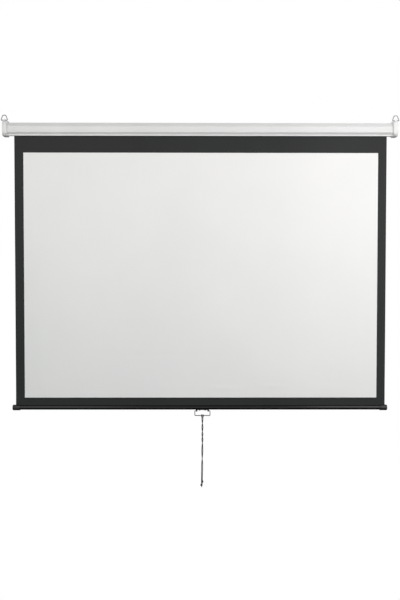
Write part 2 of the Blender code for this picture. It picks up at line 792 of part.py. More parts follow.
def make_fabric(carrier_of_case):
    """The black base from the roller down through the slot to its hem, and the white face coat on its front."""
    radius, (y, z) = hem_place()
    top = CASE_Z
    hem = BATTEN_Z + z
    path = [(0, top), (0, hem)]
    for i in range(1, 15):
        a = math.radians(180 + 320 * i / 14)
        path.append((y + radius * math.cos(a), hem + radius * math.sin(a)))
    outline = strip(path, BASE_THICKNESS)
    mesh = prism("fabric_base", outline, -FABRIC_WIDTH / 2, FABRIC_WIDTH / 2)
    add("fabric_base", mesh, (FABRIC_SHIFT, FABRIC_Y, 0), black_fabric(), carrier_of_case)

    face_top = CASE_BOTTOM - TOP_BORDER
    front = -BASE_THICKNESS / 2 - GAP
    face = block(
        "matt_white_face",
        (-VIEW_WIDTH / 2, VIEW_WIDTH / 2),
        (front - FACE_THICKNESS, front),
        (face_top - VIEW_HEIGHT, face_top),
    )
    at = (FABRIC_SHIFT + FACE_SHIFT, FABRIC_Y, 0)
    add("matt_white_face", face, at, matt_white(), carrier_of_case)


def arc(radius, start, end, steps):
    turns = [math.radians(start + (end - start) * i / steps) for i in range(steps + 1)]
    return [Vector((radius * math.cos(a), radius * math.sin(a))) for a in turns]


def make_batten(carrier_of_batten):
    """The slotted tube, the caps on its ends and the rod that the hem hangs it by."""
    middle = (0, FABRIC_Y, BATTEN_Z)
    bar_half = BATTEN_HALF - BATTEN_CAP_END - GAP
    outer_lean = math.degrees(math.asin(BATTEN_SLOT / 2 / BATTEN_RADIUS))
    inner_lean = math.degrees(math.asin(BATTEN_SLOT / 2 / BORE_RADIUS))
    outline = arc(BATTEN_RADIUS, 90 + outer_lean, 450 - outer_lean, ROUND)
    outline += arc(BORE_RADIUS, 450 - inner_lean, 90 + inner_lean, ROUND)
    mesh = prism("batten_bar", outline, -bar_half, bar_half)
    bar = add("batten_bar", mesh, middle, black_enamel(), carrier_of_batten)
    for i, way in enumerate((-1, 1)):
        hole = sleeve_along_z("hole", SADDLE_SCREW_RADIUS + GAP, -2 * BATTEN_RADIUS, 0.0)
        cut(bar, f"bar_hole_{i}", hole, (HANDLE_SHIFT + way * SADDLE_SCREW_SPACING / 2, 0, 0))

    radius, (y, z) = hem_place()
    half = FABRIC_WIDTH / 2
    profile = [(-half, 0.0), (-half, HEM_ROD_RADIUS), (half, HEM_ROD_RADIUS), (half, 0.0)]
    at = (FABRIC_SHIFT, FABRIC_Y + y, BATTEN_Z + z)
    add("hem_rod", turned("hem_rod", profile, SMALL_ROUND), at, plain_steel(), carrier_of_batten)

    round_end = BATTEN_CAP_END
    for side, word in ((-1, "left"), (1, "right")):
        wall = BATTEN_HALF - BATTEN_CAP_END
        start = BATTEN_HALF - BATTEN_CAP_LENGTH
        inner = BATTEN_RADIUS + GAP
        profile = [(wall, 0.0), (wall, inner), (start, inner), (start, BATTEN_CAP_RADIUS)]
        for degrees in (0, 30, 60, 90):
            a = math.radians(degrees)
            x = BATTEN_HALF - round_end * (1 - math.sin(a))
            profile.append((x, BATTEN_CAP_RADIUS - round_end * (1 - math.cos(a))))
        profile.append((BATTEN_HALF, 0.0))
        profile = [(side * x, radius) for x, radius in profile]
        name = word + "_batten_cap"
        cap = add(name, turned(name, profile, ROUND), middle, black_plastic(), carrier_of_batten)
        ends = sorted((side * (start - MM), side * wall))
        slit = block("slit", ends, (-BATTEN_SLOT / 2, BATTEN_SLOT / 2), (0.0, 2 * BATTEN_CAP_RADIUS))
        cut(cap, name + "_slit", slit)


def sleeve_along_z(name, radius, low, high):
    """A round cutter along Z."""
    ring = circle(radius, SMALL_ROUND)
    return loft(name, [[(x, y, z) for x, y in ring] for z in (low, high)])


def make_saddle(carrier_of_batten):
    """The handle's bracket: a curved plate under the batten with two ears, held by two screws."""
    inner = BATTEN_RADIUS + GAP
    outer = inner + SADDLE_THICKNESS
    start = 270 - SADDLE_ANGLE / 2
    end = 270 + SADDLE_ANGLE / 2
    outline = arc(outer, start, end, 10) + arc(inner, end, start, 10)
    half = EAR_SPACING / 2 + SADDLE_OVERHANG
    middle = (HANDLE_SHIFT, FABRIC_Y, BATTEN_Z)
    mesh = prism("handle_bracket", outline, -half, half)
    saddle = add("handle_bracket", mesh, middle, black_enamel(), carrier_of_batten)
    drop = HANDLE_Z - BATTEN_Z
    tall = -drop - inner - SADDLE_THICKNESS / 2
    for i, way in enumerate((-1, 1)):
        tab = [(y, -z) for y, z in lug_outline(EAR_RADIUS, tall, 8)]
        ear = prism("ear", tab, -EAR_THICKNESS / 2, EAR_THICKNESS / 2)
        place = (way * EAR_SPACING / 2, 0, drop)
        join(saddle, f"ear_{i}", ear, place)
        eye = prism("eye", circle(WIRE_RADIUS + GAP, SMALL_ROUND), -EAR_THICKNESS, EAR_THICKNESS)
        cut(saddle, f"ear_eye_{i}", eye, place)
        hole = sleeve_along_z("hole", SADDLE_SCREW_RADIUS + GAP, -2 * outer, 0.0)
        cut(saddle, f"saddle_hole_{i}", hole, (way * SADDLE_SCREW_SPACING / 2, 0, 0))
    mesh = screw_mesh("handle_screw", SADDLE_SCREW_RADIUS, SADDLE_SCREW_LENGTH, carrier_of_batten)
    for way, word in ((-1, "left"), (1, "right")):
        at = (HANDLE_SHIFT + way * SADDLE_SCREW_SPACING / 2, FABRIC_Y, BATTEN_Z - outer - GAP)
        screw = add(f"{word}_handle_screw", mesh, at, plain_steel(), carrier_of_batten)
        screw.rotation_euler = (0, -math.pi / 2, 0)


def make_bail(carrier_of_bail):
    """The pull handle: one wire from ear to ear."""
    end = EAR_SPACING / 2 - EAR_THICKNESS / 2 + WIRE_END_GAP
    corners = [
        (end, 0, 0),
        (HANDLE_HALF_WIDTH, 0, 0),
        (HANDLE_HALF_WIDTH, 0, -HANDLE_DROP),
        (-HANDLE_HALF_WIDTH, 0, -HANDLE_DROP),
        (-HANDLE_HALF_WIDTH, 0, 0),
        (-end, 0, 0),
    ]
    points = filleted(corners, [0] + [HANDLE_BEND] * 4 + [0], 5, closed=False)
    data = wire("pull_handle", points, WIRE_RADIUS, 2)
    add("pull_handle", data, (HANDLE_SHIFT, FABRIC_Y, HANDLE_Z), zinc_wire(), carrier_of_bail)


def knot(name, centre, width, height, carrier_of_cord):
    """An egg of the knot's outer shape, its long axis upright."""
    profile = [(-height / 2, 0.0)]
    for degrees in range(-60, 61, 30):
        a = math.radians(degrees)
        profile.append((height / 2 * math.sin(a), width / 2 * math.cos(a)))
    profile.append((height / 2, 0.0))
    mesh = turned(name, profile, SMALL_ROUND)
    at = (HANDLE_SHIFT + centre.x, FABRIC_Y + centre.y, BAIL_WIRE_Z + centre.z)
    obj = add(name, mesh, at, black_cord(), carrier_of_cord)
    obj.rotation_euler = (0, math.pi / 2, 0)


def make_cord(carrier_of_cord):
    """The hitch round the handle's wire, two strands and the knot on each strand's end."""
    inner = WIRE_RADIUS + GAP
    middle = (HANDLE_SHIFT, FABRIC_Y, BAIL_WIRE_Z)
    hitch = sleeve("cord_hitch", -HITCH_WIDTH / 2, HITCH_WIDTH / 2, inner, inner + 2 * CORD_RADIUS, 16)
    add("cord_hitch", hitch, middle, black_cord(), carrier_of_cord)
    for name, route, end, width, height in (
        ("cord_front_strand", FRONT_STRAND, "upper_cord_knot", UPPER_KNOT_WIDTH, UPPER_KNOT_HEIGHT),
        ("cord_back_strand", BACK_STRAND, "lower_cord_knot", LOWER_KNOT_WIDTH, LOWER_KNOT_HEIGHT),
    ):
        points = [Vector((x * MM, y * MM, -down * MM)) for x, y, down in route]
        line = smooth(points, 2)
        length = sum((b - a).length for a, b in zip(line, line[1:]))
        print(f"{name}: {length / MM:.0f} mm")
        add(name, wire(name, line, CORD_RADIUS, 2), middle, black_cord(), carrier_of_cord)
        centre = points[-1] - Vector((0, 0, height / 2 + GAP))
        knot(end, centre, width, height, carrier_of_cord)


def main():
    clear_scene()
    case = carrier("case_carrier", (0, 0, 0))
    make_case(case)
    make_cap("left_end_cap", -1, case)
    make_cap("right_end_cap", 1, case)
    slot = block(
        "spear_slot",
        (-BRACKET_THICKNESS - MM, MM),
        (-SPEAR_WIDTH / 2 - GAP, SPEAR_WIDTH / 2 + GAP),
        (-SPEAR_HEIGHT / 2 - GAP, SPEAR_HEIGHT / 2 + GAP),
    )
    make_bracket("left_bracket", -1, slot, case)
    bush = prism("pin_hole", circle(ARBOR_RADIUS + GAP, ROUND), -MM, BRACKET_THICKNESS + MM)
    make_bracket("right_bracket", 1, bush, case)
    make_cap_screws(case)
    make_arbor(case)
    make_spring(case)
    make_fabric(case)
    for side, word in ((-1, "left"), (1, "right")):
        pivot = carrier(f"{word}_loop_pivot", (side * LUG_X, 0, LUG_Z), case)
        make_loop(f"{word}_hanging_loop", side, pivot)

    roller = carrier("roller_axis", (0, ROLLER_Y, CASE_Z), case)
    make_roller(roller)
    for way, word, turn in ((1, "upper", 0.0), (-1, "lower", math.pi)):
        peg = (-FLANGE_OUTER, ROLLER_Y, CASE_Z + way * PAWL_PIVOT_RADIUS)
        make_pawl(f"{word}_pawl", turn, carrier(f"{word}_pawl_peg", peg, roller))

    batten = carrier("batten_carrier", (0, FABRIC_Y, BATTEN_Z), case)
    make_batten(batten)
    make_saddle(batten)
    handle = carrier("handle_pivot", (HANDLE_SHIFT, FABRIC_Y, HANDLE_Z), batten)
    make_bail(handle)
    cord = carrier("cord_pivot", (HANDLE_SHIFT, FABRIC_Y, BAIL_WIRE_Z), handle)
    make_cord(cord)


main()
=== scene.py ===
# %% [markdown]
# # A pull-down projector screen
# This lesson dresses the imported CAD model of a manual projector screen. It hangs by two wire loops
# and its fabric is drawn down. The frame brings every solid at its real size, in metres, with +X to
# the right, -Y towards the viewer and +Z up. Each piece that shows is made again here with the
# finer surface of the real one, in the place where the frame has it, and rides on the same body.

import json
import math

import bmesh
import bpy
from mathutils import Euler, Matrix, Vector, noise


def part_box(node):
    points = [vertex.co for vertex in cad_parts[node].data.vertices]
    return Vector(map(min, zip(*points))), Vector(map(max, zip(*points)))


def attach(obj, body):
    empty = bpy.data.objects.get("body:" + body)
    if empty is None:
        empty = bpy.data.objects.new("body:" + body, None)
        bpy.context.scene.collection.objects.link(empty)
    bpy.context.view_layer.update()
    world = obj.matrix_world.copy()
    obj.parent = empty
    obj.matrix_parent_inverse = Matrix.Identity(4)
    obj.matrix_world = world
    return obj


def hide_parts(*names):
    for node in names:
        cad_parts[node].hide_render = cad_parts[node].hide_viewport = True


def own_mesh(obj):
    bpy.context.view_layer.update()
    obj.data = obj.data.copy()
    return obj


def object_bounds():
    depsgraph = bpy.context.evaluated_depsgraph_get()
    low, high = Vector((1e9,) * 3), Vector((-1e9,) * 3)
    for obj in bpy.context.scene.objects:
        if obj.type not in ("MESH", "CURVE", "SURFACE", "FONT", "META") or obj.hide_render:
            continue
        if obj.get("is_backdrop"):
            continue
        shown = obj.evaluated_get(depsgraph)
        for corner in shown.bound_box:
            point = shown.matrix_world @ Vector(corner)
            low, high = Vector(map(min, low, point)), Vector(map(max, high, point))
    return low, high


MM = 0.001
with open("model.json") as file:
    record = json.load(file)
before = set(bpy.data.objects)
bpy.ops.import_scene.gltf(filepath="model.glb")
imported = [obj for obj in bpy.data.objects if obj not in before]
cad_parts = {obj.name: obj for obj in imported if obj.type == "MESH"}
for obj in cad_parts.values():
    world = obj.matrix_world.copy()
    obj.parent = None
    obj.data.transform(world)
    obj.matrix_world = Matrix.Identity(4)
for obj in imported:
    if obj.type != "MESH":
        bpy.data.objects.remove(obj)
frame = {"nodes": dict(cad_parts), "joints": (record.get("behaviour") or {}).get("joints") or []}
cad_low, cad_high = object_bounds()
joint_at = {joint["name"]: Vector(joint["pos_m"]) for joint in frame["joints"]}
print("size of the solids, mm:", [round(side / MM) for side in cad_high - cad_low])

# %% [markdown]
# ## The camera
# The photograph was taken about four and a half metres in front of the screen, a little above its
# middle, with a slight look down: the fabric's lower edge is a hundredth narrower than its upper
# one. The values were fitted to the corners of the white area, the case and the batten. The lens
# shift is small and stands for the way the picture was cropped.

# %% Place the camera
CAMERA_PLACE = (-0.003, -4.576, -0.515)
LOOK_DOWN = 2.491
LOOK_RIGHT = 0.428
ROLL = 0.049
SENSOR = 36.0
LENS = 64.56
PHOTO_HEIGHT = 600
SHIFT_RIGHT_PX = 7.48
SHIFT_UP_PX = 15.39

camera_data = bpy.data.cameras.new("photo_camera")
camera_data.sensor_width = SENSOR
camera_data.lens = LENS
camera_data.shift_x = -SHIFT_RIGHT_PX / PHOTO_HEIGHT
camera_data.shift_y = -SHIFT_UP_PX / PHOTO_HEIGHT
camera = bpy.data.objects.new("photo_camera", camera_data)
bpy.context.scene.collection.objects.link(camera)
camera.location = CAMERA_PLACE
aim = Euler((math.radians(90 - LOOK_DOWN), 0, math.radians(-LOOK_RIGHT))).to_matrix()
camera.rotation_euler = (aim @ Matrix.Rotation(math.radians(ROLL), 3, "Z")).to_euler()
bpy.context.scene.camera = camera
print("camera:", -CAMERA_PLACE[1], "m in front, lens", LENS, "mm")

# %% [markdown]
# ## Helpers for materials
# Colours are written as sRGB hex values, as a colour picker shows them, and one function turns
# them to the linear values that the renderer works in. One function adds a node with its
# settings and its inputs, and an input is either a value or another node's output. Patterns are
# sized in millimetres: `grain` gives noise whose spots are that far apart, nearly all of it between
# 0.3 and 0.7. Every finish is laid from the same parts, spread over that span: a tone that wanders
# between two colours, a relief and, but for cloth and cord, a gloss between two roughnesses.

# %% Helpers for materials
NOISE_LOW = 0.3
NOISE_HIGH = 0.7


def linear(code):
    """An sRGB hex value as the linear colour of a shader's socket."""
    parts = [int(code[i : i + 2], 16) / 255 for i in (1, 3, 5)]
    return (*[c / 12.92 if c <= 0.04045 else ((c + 0.055) / 1.055) ** 2.4 for c in parts], 1.0)


def add_node(tree, kind, inputs, **settings):
    """Adds a node. Each input is a value or another node's output."""
    made = tree.nodes.new(kind)
    for name, value in settings.items():
        setattr(made, name, value)
    for key, value in inputs.items():
        if isinstance(value, bpy.types.NodeSocket):
            tree.links.new(value, made.inputs[key])
        else:
            made.inputs[key].default_value = value
    return made


def new_material(name, **sockets):
    """A material, its node tree and its shader, with the shader's own sockets set."""
    made = bpy.data.materials.new(name)
    made.use_nodes = True
    surface = made.node_tree.nodes["Principled BSDF"]
    for label, value in sockets.items():
        surface.inputs[label.replace("_", " ")].default_value = value
    return made, made.node_tree, surface


def grain(tree, spacing, detail=2.0, source="Object"):
    """Noise with spots about one spacing apart, in metres."""
    place = add_node(tree, "ShaderNodeTexCoord", {})
    scale = [1 / spacing] * 3
    sized = add_node(tree, "ShaderNodeMapping", {"Vector": place.outputs[source], "Scale": scale})
    inputs = {"Vector": sized.outputs["Vector"], "Scale": 1.0, "Detail": detail}
    return add_node(tree, "ShaderNodeTexNoise", inputs).outputs["Fac"]


def lay_finish(tree, surface, tone, relief, gloss=None, gloss_from=NOISE_LOW):
    """Tone is noise and two colours, gloss is noise and two roughnesses. Relief is a height, its
    depth in metres and its strength."""
    spots, dark, light = tone
    inputs = {"Value": spots, "From Min": NOISE_LOW, "From Max": NOISE_HIGH}
    share = add_node(tree, "ShaderNodeMapRange", inputs).outputs["Result"]
    inputs = {0: share, 6: linear(dark), 7: linear(light)}
    mixed = add_node(tree, "ShaderNodeMix", inputs, data_type="RGBA").outputs[2]
    tree.links.new(mixed, surface.inputs["Base Color"])
    if gloss:
        spots, smooth, dull = gloss
        inputs = {"Value": spots, "From Min": gloss_from, "From Max": NOISE_HIGH}
        inputs.update({"To Min": smooth, "To Max": dull})
        roughness = add_node(tree, "ShaderNodeMapRange", inputs).outputs["Result"]
        tree.links.new(roughness, surface.inputs["Roughness"])
    height, depth, strength = relief
    inputs = {"Height": height, "Distance": depth, "Strength": strength}
    bumps = add_node(tree, "ShaderNodeBump", inputs)
    tree.links.new(bumps.outputs["Normal"], surface.inputs["Normal"])


print("#808080 in linear light:", round(linear("#808080")[0], 3))

# %% [markdown]
# ## Powder-coated steel: the case
# The case is rolled from steel sheet and powder-coated white. Powder melts into a skin about 80
# micrometres thick, which gives the eye a satin white with a faint orange peel: shallow waves
# two or three millimetres apart. The binder is polyester, with an IOR near 1.5.

# %% White powder coat
ORANGE_PEEL = 2.6 * MM
PEEL_DEPTH = 0.02 * MM

coat_white, tree, surface = new_material("white_powder_coat", Roughness=0.4, IOR=1.5)
lay_finish(
    tree,
    surface,
    tone=(grain(tree, 160 * MM, 3.0), "#dcdcdc", "#e2e2e1"),
    gloss=(grain(tree, 40 * MM), 0.36, 0.46),
    relief=(grain(tree, ORANGE_PEEL, 1.0), PEEL_DEPTH, 0.5),
)
print(coat_white.name, "with waves every", round(ORANGE_PEEL / MM, 1), "mm")

# %% [markdown]
# ## Moulded ABS: the end caps
# The caps are injection-moulded ABS. The mould is spark-eroded, which prints a fine even grain of
# about a third of a millimetre, so the plastic looks a little softer than the coat. The grain is
# drawn at 0.8 mm, the finest that still shows when the camera comes near. The plugs inside are
# nylon from the same kind of mould, left in its own cream colour.

# %% White and black ABS, and nylon
SPARK_GRAIN = 0.8 * MM
SPARK_DEPTH = 0.03 * MM


def moulded_plastic(name, dark, light, roughness):
    """Injection-moulded plastic with a spark-eroded grain and a faint flow in its colour."""
    made, tree, surface = new_material(name, Roughness=roughness, IOR=1.53)
    lay_finish(
        tree,
        surface,
        tone=(grain(tree, 35 * MM, 3.0), dark, light),
        gloss=(grain(tree, 12 * MM), roughness - 0.05, roughness + 0.07),
        gloss_from=0.35,
        relief=(grain(tree, SPARK_GRAIN, 1.0), SPARK_DEPTH, 0.4),
    )
    return made


abs_white = moulded_plastic("white_abs", "#dfdfde", "#e6e6e5", 0.42)
abs_black = moulded_plastic("black_abs", "#101011", "#191a1a", 0.38)
nylon = moulded_plastic("natural_nylon", "#dcd8c6", "#e8e4d4", 0.5)
print("plastics:", [made.name for made in (abs_white, abs_black, nylon)])

# %% [markdown]
# ## Zinc on steel: wire, screws and plates
# The hanging loops and the handle are drawn steel wire with a bright zinc plating, and so are the
# screws. Zinc is a metal, so its colour is its reflection: a light blue grey that clouds a little
# where the plating has passivated. The roller and the brackets are plain galvanised sheet.

# %% Zinc, galvanised sheet and spring steel
SCRATCH_DEPTH = 0.01 * MM


def plated_metal(name, dark, light, smooth, dull, cloud_size, scratch):
    """A metal whose plating clouds in patches, with fine marks from drawing and handling."""
    made, tree, surface = new_material(name, Metallic=1.0, Roughness=smooth)
    cloud = grain(tree, cloud_size, 4.0)
    marks = grain(tree, scratch, 3.0)
    lay_finish(tree, surface, (cloud, dark, light), (marks, SCRATCH_DEPTH, 0.4), (cloud, smooth, dull))
    return made


zinc = plated_metal("bright_zinc_plating", "#7e8285", "#9b9fa2", 0.26, 0.42, 5 * MM, 0.5 * MM)
galvanised = plated_metal("galvanised_sheet", "#9a9ea1", "#b9bdbf", 0.34, 0.5, 9 * MM, 0.8 * MM)
spring_steel = plated_metal(
    "oil_tempered_spring_steel", "#55565a", "#76777b", 0.3, 0.42, 4 * MM, 0.4 * MM
)
print("metals:", [made.name for made in (zinc, galvanised, spring_steel)])

# %% [markdown]
# ## Enamelled steel: the batten
# The batten is a round steel tube in stoved black enamel, glossier than the cloth. What shows of
# it is a sharp band of reflected light along its top, over a nearly pure black.

# %% Black enamel
ENAMEL_WAVE = 3.0 * MM
ENAMEL_DEPTH = 0.015 * MM

enamel_black, tree, surface = new_material("black_stoved_enamel", IOR=1.52, Specular_IOR_Level=0.4)
lay_finish(
    tree,
    surface,
    tone=(grain(tree, 60 * MM, 3.0), "#050506", "#0a0a0b"),
    gloss=(grain(tree, 18 * MM), 0.14, 0.24),
    relief=(grain(tree, ENAMEL_WAVE, 1.0), ENAMEL_DEPTH, 0.5),
)
print(enamel_black.name, "with waves every", round(ENAMEL_WAVE / MM, 1), "mm")

# %% [markdown]
# ## Coated cloth: the screen itself
# The fabric is a polyester cloth coated with matt PVC, white in front with a printed black border
# and black behind. The threads lie half a millimetre apart. They are drawn at 1.2 mm here, as
# coarse as they need to be to show at all, from two waves that cross. A wave node turns by twenty
# radians over one unit of its scale, so the scale is found from the thread. The pattern is laid in
# the cloth's own UV metres, so it stays with the cloth as it is wound up.

# %% Matt white coating and black cloth
THREAD = 1.2 * MM
WAVE_TURN = 20.0


def weave(tree):
    """The height of a plain weave: each thread rises where the other sinks."""
    place = add_node(tree, "ShaderNodeTexCoord", {})
    scale = 2 * math.pi / (WAVE_TURN * THREAD)
    waves = []
    for direction in ("X", "Y"):
        inputs = {"Vector": place.outputs["UV"], "Scale": scale, "Distortion": 0.0}
        waves.append(add_node(tree, "ShaderNodeTexWave", inputs, bands_direction=direction))
    inputs = {0: waves[0].outputs["Fac"], 1: waves[1].outputs["Fac"]}
    return add_node(tree, "ShaderNodeMath", inputs, operation="MULTIPLY").outputs["Value"]


def coated_cloth(name, dark, light, thread_depth, **sockets):
    """PVC-coated cloth: a matt skin that follows the threads, a little uneven in tone."""
    made, tree, surface = new_material(name, **sockets)
    cloud = grain(tree, 400 * MM, 3.0, source="UV")
    lay_finish(tree, surface, (cloud, dark, light), (weave(tree), thread_depth, 0.5))
    return made


screen_white = coated_cloth(
    "matt_white_pvc", "#ededec", "#f1f0ef", 0.02 * MM, Roughness=0.9, IOR=1.45
)
border_black = coated_cloth(
    "black_pvc_border", "#2c2d2d", "#303131", 0.03 * MM, Roughness=0.5, IOR=1.5, Specular_IOR_Level=0.12
)
backing_black = coated_cloth(
    "black_cloth_backing", "#202121", "#262727", 0.06 * MM, Roughness=0.7, IOR=1.5
)
cloths = (screen_white, border_black, backing_black)
print("threads every", THREAD / MM, "mm on:", [made.name for made in cloths])

# %% [markdown]
# ## Twisted polyester: the cord
# The pull cord is laid from three plies of black filament polyester. The plies are real geometry
# below, and the material adds only the filaments and their sheen.

# %% Black cord
FILAMENTS = 0.35 * MM
FILAMENT_DEPTH = 0.05 * MM

cord_black, tree, surface = new_material(
    "black_polyester_cord", Roughness=0.72, IOR=1.5, Sheen_Weight=0.1, Sheen_Roughness=0.4
)
lay_finish(
    tree,
    surface,
    tone=(grain(tree, 2 * MM, 3.0), "#080809", "#121213"),
    relief=(grain(tree, FILAMENTS), FILAMENT_DEPTH, 0.6),
)
print(cord_black.name, "with bundles of filaments every", round(FILAMENTS / MM, 2), "mm")

# %% [markdown]
# ## Helpers for shapes
# Every piece is a mesh or a curve that is worked out in the frame's own metres. A piece is then
# seated: it gets its material and its body to ride on, and the CAD nodes that it stands for are
# hidden.

# %% Seat a piece
SMOOTH_BELOW = math.radians(33)


def seat(piece, material, body, slot, *nodes):
    """Gives a piece its finish and says what it rides on and which CAD nodes it stands for."""
    if piece.name not in bpy.context.scene.collection.objects:
        bpy.context.scene.collection.objects.link(piece)
    if material:
        piece.data.materials.clear()
        piece.data.materials.append(material)
    if piece.type == "MESH":
        piece.data.shade_smooth()
        piece.data.set_sharp_from_angle(angle=SMOOTH_BELOW)
    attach(piece, body)
    if nodes:
        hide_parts(*nodes)
    return piece


print("edges stay sharp over", round(math.degrees(SMOOTH_BELOW)), "degrees")

# %% [markdown]
# Three helpers make most of the solids: a loft through rings of points, an outline drawn straight
# along X, and a profile turned about an axis. A turned profile starts and ends a hair off its
# axis, so that its ends can be filled as any other ring.

# %% Loft, extrude and turn
AXIS_POINT = 0.01 * MM


def loft(name, rings, closed=False):
    """A mesh through rings of points. Its two ends are filled, unless the last ring meets the first."""
    shape = bmesh.new()
    made = [[shape.verts.new(point) for point in ring] for ring in rings]
    pairs = list(zip(made, made[1:]))
    if closed:
        pairs.append((made[-1], made[0]))
    for low, high in pairs:
        for i in range(len(low)):
            j = (i + 1) % len(low)
            shape.faces.new((low[i], low[j], high[j], high[i]))
    if not closed:
        shape.faces.new(made[0][::-1])
        shape.faces.new(made[-1])
    bmesh.ops.recalc_face_normals(shape, faces=shape.faces)
    mesh = bpy.data.meshes.new(name)
    shape.to_mesh(mesh)
    shape.free()
    return bpy.data.objects.new(name, mesh)


def extrude(name, outline, places):
    """A closed outline of (y, z) drawn along X through the given places."""
    return loft(name, [[(x, y, z) for y, z in outline] for x in places])


def turn(name, profile, centre, sides, axis="X"):
    """A solid turned about X or Z through the centre, from (along, radius) between two axis points."""
    rings = []
    for along, radius in profile:
        ring = []
        for i in range(sides):
            a = 2 * math.pi * i / sides
            round_point = (radius * math.cos(a), radius * math.sin(a))
            point = (along, *round_point) if axis == "X" else (*round_point, along)
            ring.append(Vector(point) + Vector(centre))
        rings.append(ring)
    return loft(name, rings)


print("makers of solids:", [maker.__name__ for maker in (loft, extrude, turn)])

# %% [markdown]
# Outlines are lists of points across a piece, as (y, z). They are built from corners, whose bends
# become arcs, and a sheet's second face is the first one moved by the thickness.

# %% Arcs, rounded corners and moved outlines
def arc(centre, radius, start, end, steps):
    """Points of (y, z) on an arc, with its angles in degrees."""
    turns = [math.radians(start + (end - start) * i / steps) for i in range(steps + 1)]
    return [(centre[0] + radius * math.cos(a), centre[1] + radius * math.sin(a)) for a in turns]


def circle(centre, radius, count):
    """Points of (y, z) all round a circle."""
    return arc(centre, radius, 0, 360 - 360 / count, count - 1)


def rounded(corners, radii, steps, closed=True):
    """The corners with each one turned into an arc of its radius, in two or three dimensions."""
    corners = [Vector(corner) for corner in corners]
    made = []
    for i, corner in enumerate(corners):
        if radii[i] <= 0 or (not closed and i in (0, len(corners) - 1)):
            made.append(corner)
            continue
        before = (corners[i - 1] - corner).normalized()
        after = (corners[(i + 1) % len(corners)] - corner).normalized()
        half = before.angle(after) / 2
        middle = corner + (before + after).normalized() * radii[i] / math.sin(half)
        first = corner + before * radii[i] / math.tan(half) - middle
        last = corner + after * radii[i] / math.tan(half) - middle
        sweep = math.pi - 2 * half
        for k in range(steps + 1):
            share = k / steps
            turned = first * math.sin((1 - share) * sweep) + last * math.sin(share * sweep)
            made.append(middle + turned / math.sin(sweep))
    return made


def moved_path(points, distance, closed=False):
    """A path of (y, z) moved to the right of its own direction, with mitred corners."""
    points = [Vector(point) for point in points]
    count = len(points)
    moved = []
    for i, point in enumerate(points):
        sides = []
        for a, b in ((i - 1, i), (i, i + 1)):
            if closed or (a >= 0 and b < count):
                along = (points[b % count] - points[a % count]).normalized()
                sides.append(Vector((along.y, -along.x)))
        mean = sum(sides, Vector((0.0, 0.0))).normalized()
        moved.append(point + mean * distance / mean.dot(sides[0]))
    return moved


square = [(0, 0), (2, 0), (2, 2), (0, 2)]
print("a square with round corners has", len(rounded(square, [0.5] * 4, 6)), "points")

# %% [markdown]
# Holes, eyes and recesses could be modelled face by face, but a Boolean cuts them cleanly from any
# shape. It is applied at once, so that a piece ends as one plain mesh, and its cutting tool is a
# loft or a turned profile like the pieces themselves.

# %% Cut a piece, or join two
def carve(piece, tool, operation="DIFFERENCE"):
    """Cuts the tool from the piece, or joins it, and removes the tool."""
    for obj in (piece, tool):
        if obj.name not in bpy.context.scene.collection.objects:
            bpy.context.scene.collection.objects.link(obj)
    modifier = piece.modifiers.new("carve", "BOOLEAN")
    modifier.operation = operation
    modifier.object = tool
    bpy.context.view_layer.update()
    graph = bpy.context.evaluated_depsgraph_get()
    solid = bpy.data.meshes.new_from_object(piece.evaluated_get(graph))
    piece.modifiers.clear()
    piece.data = solid
    bpy.data.objects.remove(tool, do_unlink=True)


print("cutting tools are made by", loft.__name__, "and", turn.__name__)

# %% [markdown]
# A cord's route is a handful of points. One of Blender's own curves could run through them, but the
# plies have to turn evenly along the cord. So the smooth line is worked out here, and its points
# are then set again at one spacing.

# %% Lines for cord and wire
def smooth_line(points, steps):
    """Points on a smooth curve through the given ones."""
    points = [Vector(point) for point in points]
    ends = [points[0] * 2 - points[1]] + points + [points[-1] * 2 - points[-2]]
    made = []
    for i in range(1, len(ends) - 2):
        a, b, c, d = ends[i - 1 : i + 3]
        for k in range(steps):
            t = k / steps
            bend = (2 * a - 5 * b + 4 * c - d) * t * t + (3 * b - a - 3 * c + d) * t**3
            made.append((2 * b + (c - a) * t + bend) / 2)
    return made + [points[-1]]


def evenly(points, spacing):
    """The line's points again, at an even spacing along it."""
    lengths = [0.0]
    for a, b in zip(points, points[1:]):
        lengths.append(lengths[-1] + (b - a).length)
    count = max(2, round(lengths[-1] / spacing))
    made = []
    k = 0
    for i in range(count + 1):
        goal = lengths[-1] * i / count
        while k < len(lengths) - 2 and lengths[k + 1] < goal:
            k += 1
        share = (goal - lengths[k]) / (lengths[k + 1] - lengths[k])
        made.append(points[k].lerp(points[k + 1], min(1.0, share)))
    return made


def length_of(line):
    """The length of a line of points."""
    return sum((b - a).length for a, b in zip(line, line[1:]))


bend = smooth_line([(0, 0, 0), (1, 0, 0), (1, 1, 0)], 8)
print("a smooth line round a corner of 1 and 1 is", round(length_of(bend), 2), "long")

# %% [markdown]
# ## The pull cord
# A cord of three plies is a round section with three valleys that turns as it goes, one turn every
# eleven millimetres. The section is carried along the cord's line without twisting of its own, and
# the lay is then added to it. Both strands hang from a lark's head hitch on the handle's wire. The
# routes' points are the CAD model's, across, back and down from the wire in millimetres. At first
# the strands twist about each other, so there the back one is the front one turned half round.

# %% Sweep a laid cord along a line
CORD_RADIUS = 1.8 * MM
LAY_LENGTH = 11.0 * MM
CORD_STEP = 0.9 * MM
PLIES = 3
PLY_POINTS = 5
VALLEY = 0.17
CORD_END = (0.35, 0.8, 1.0)


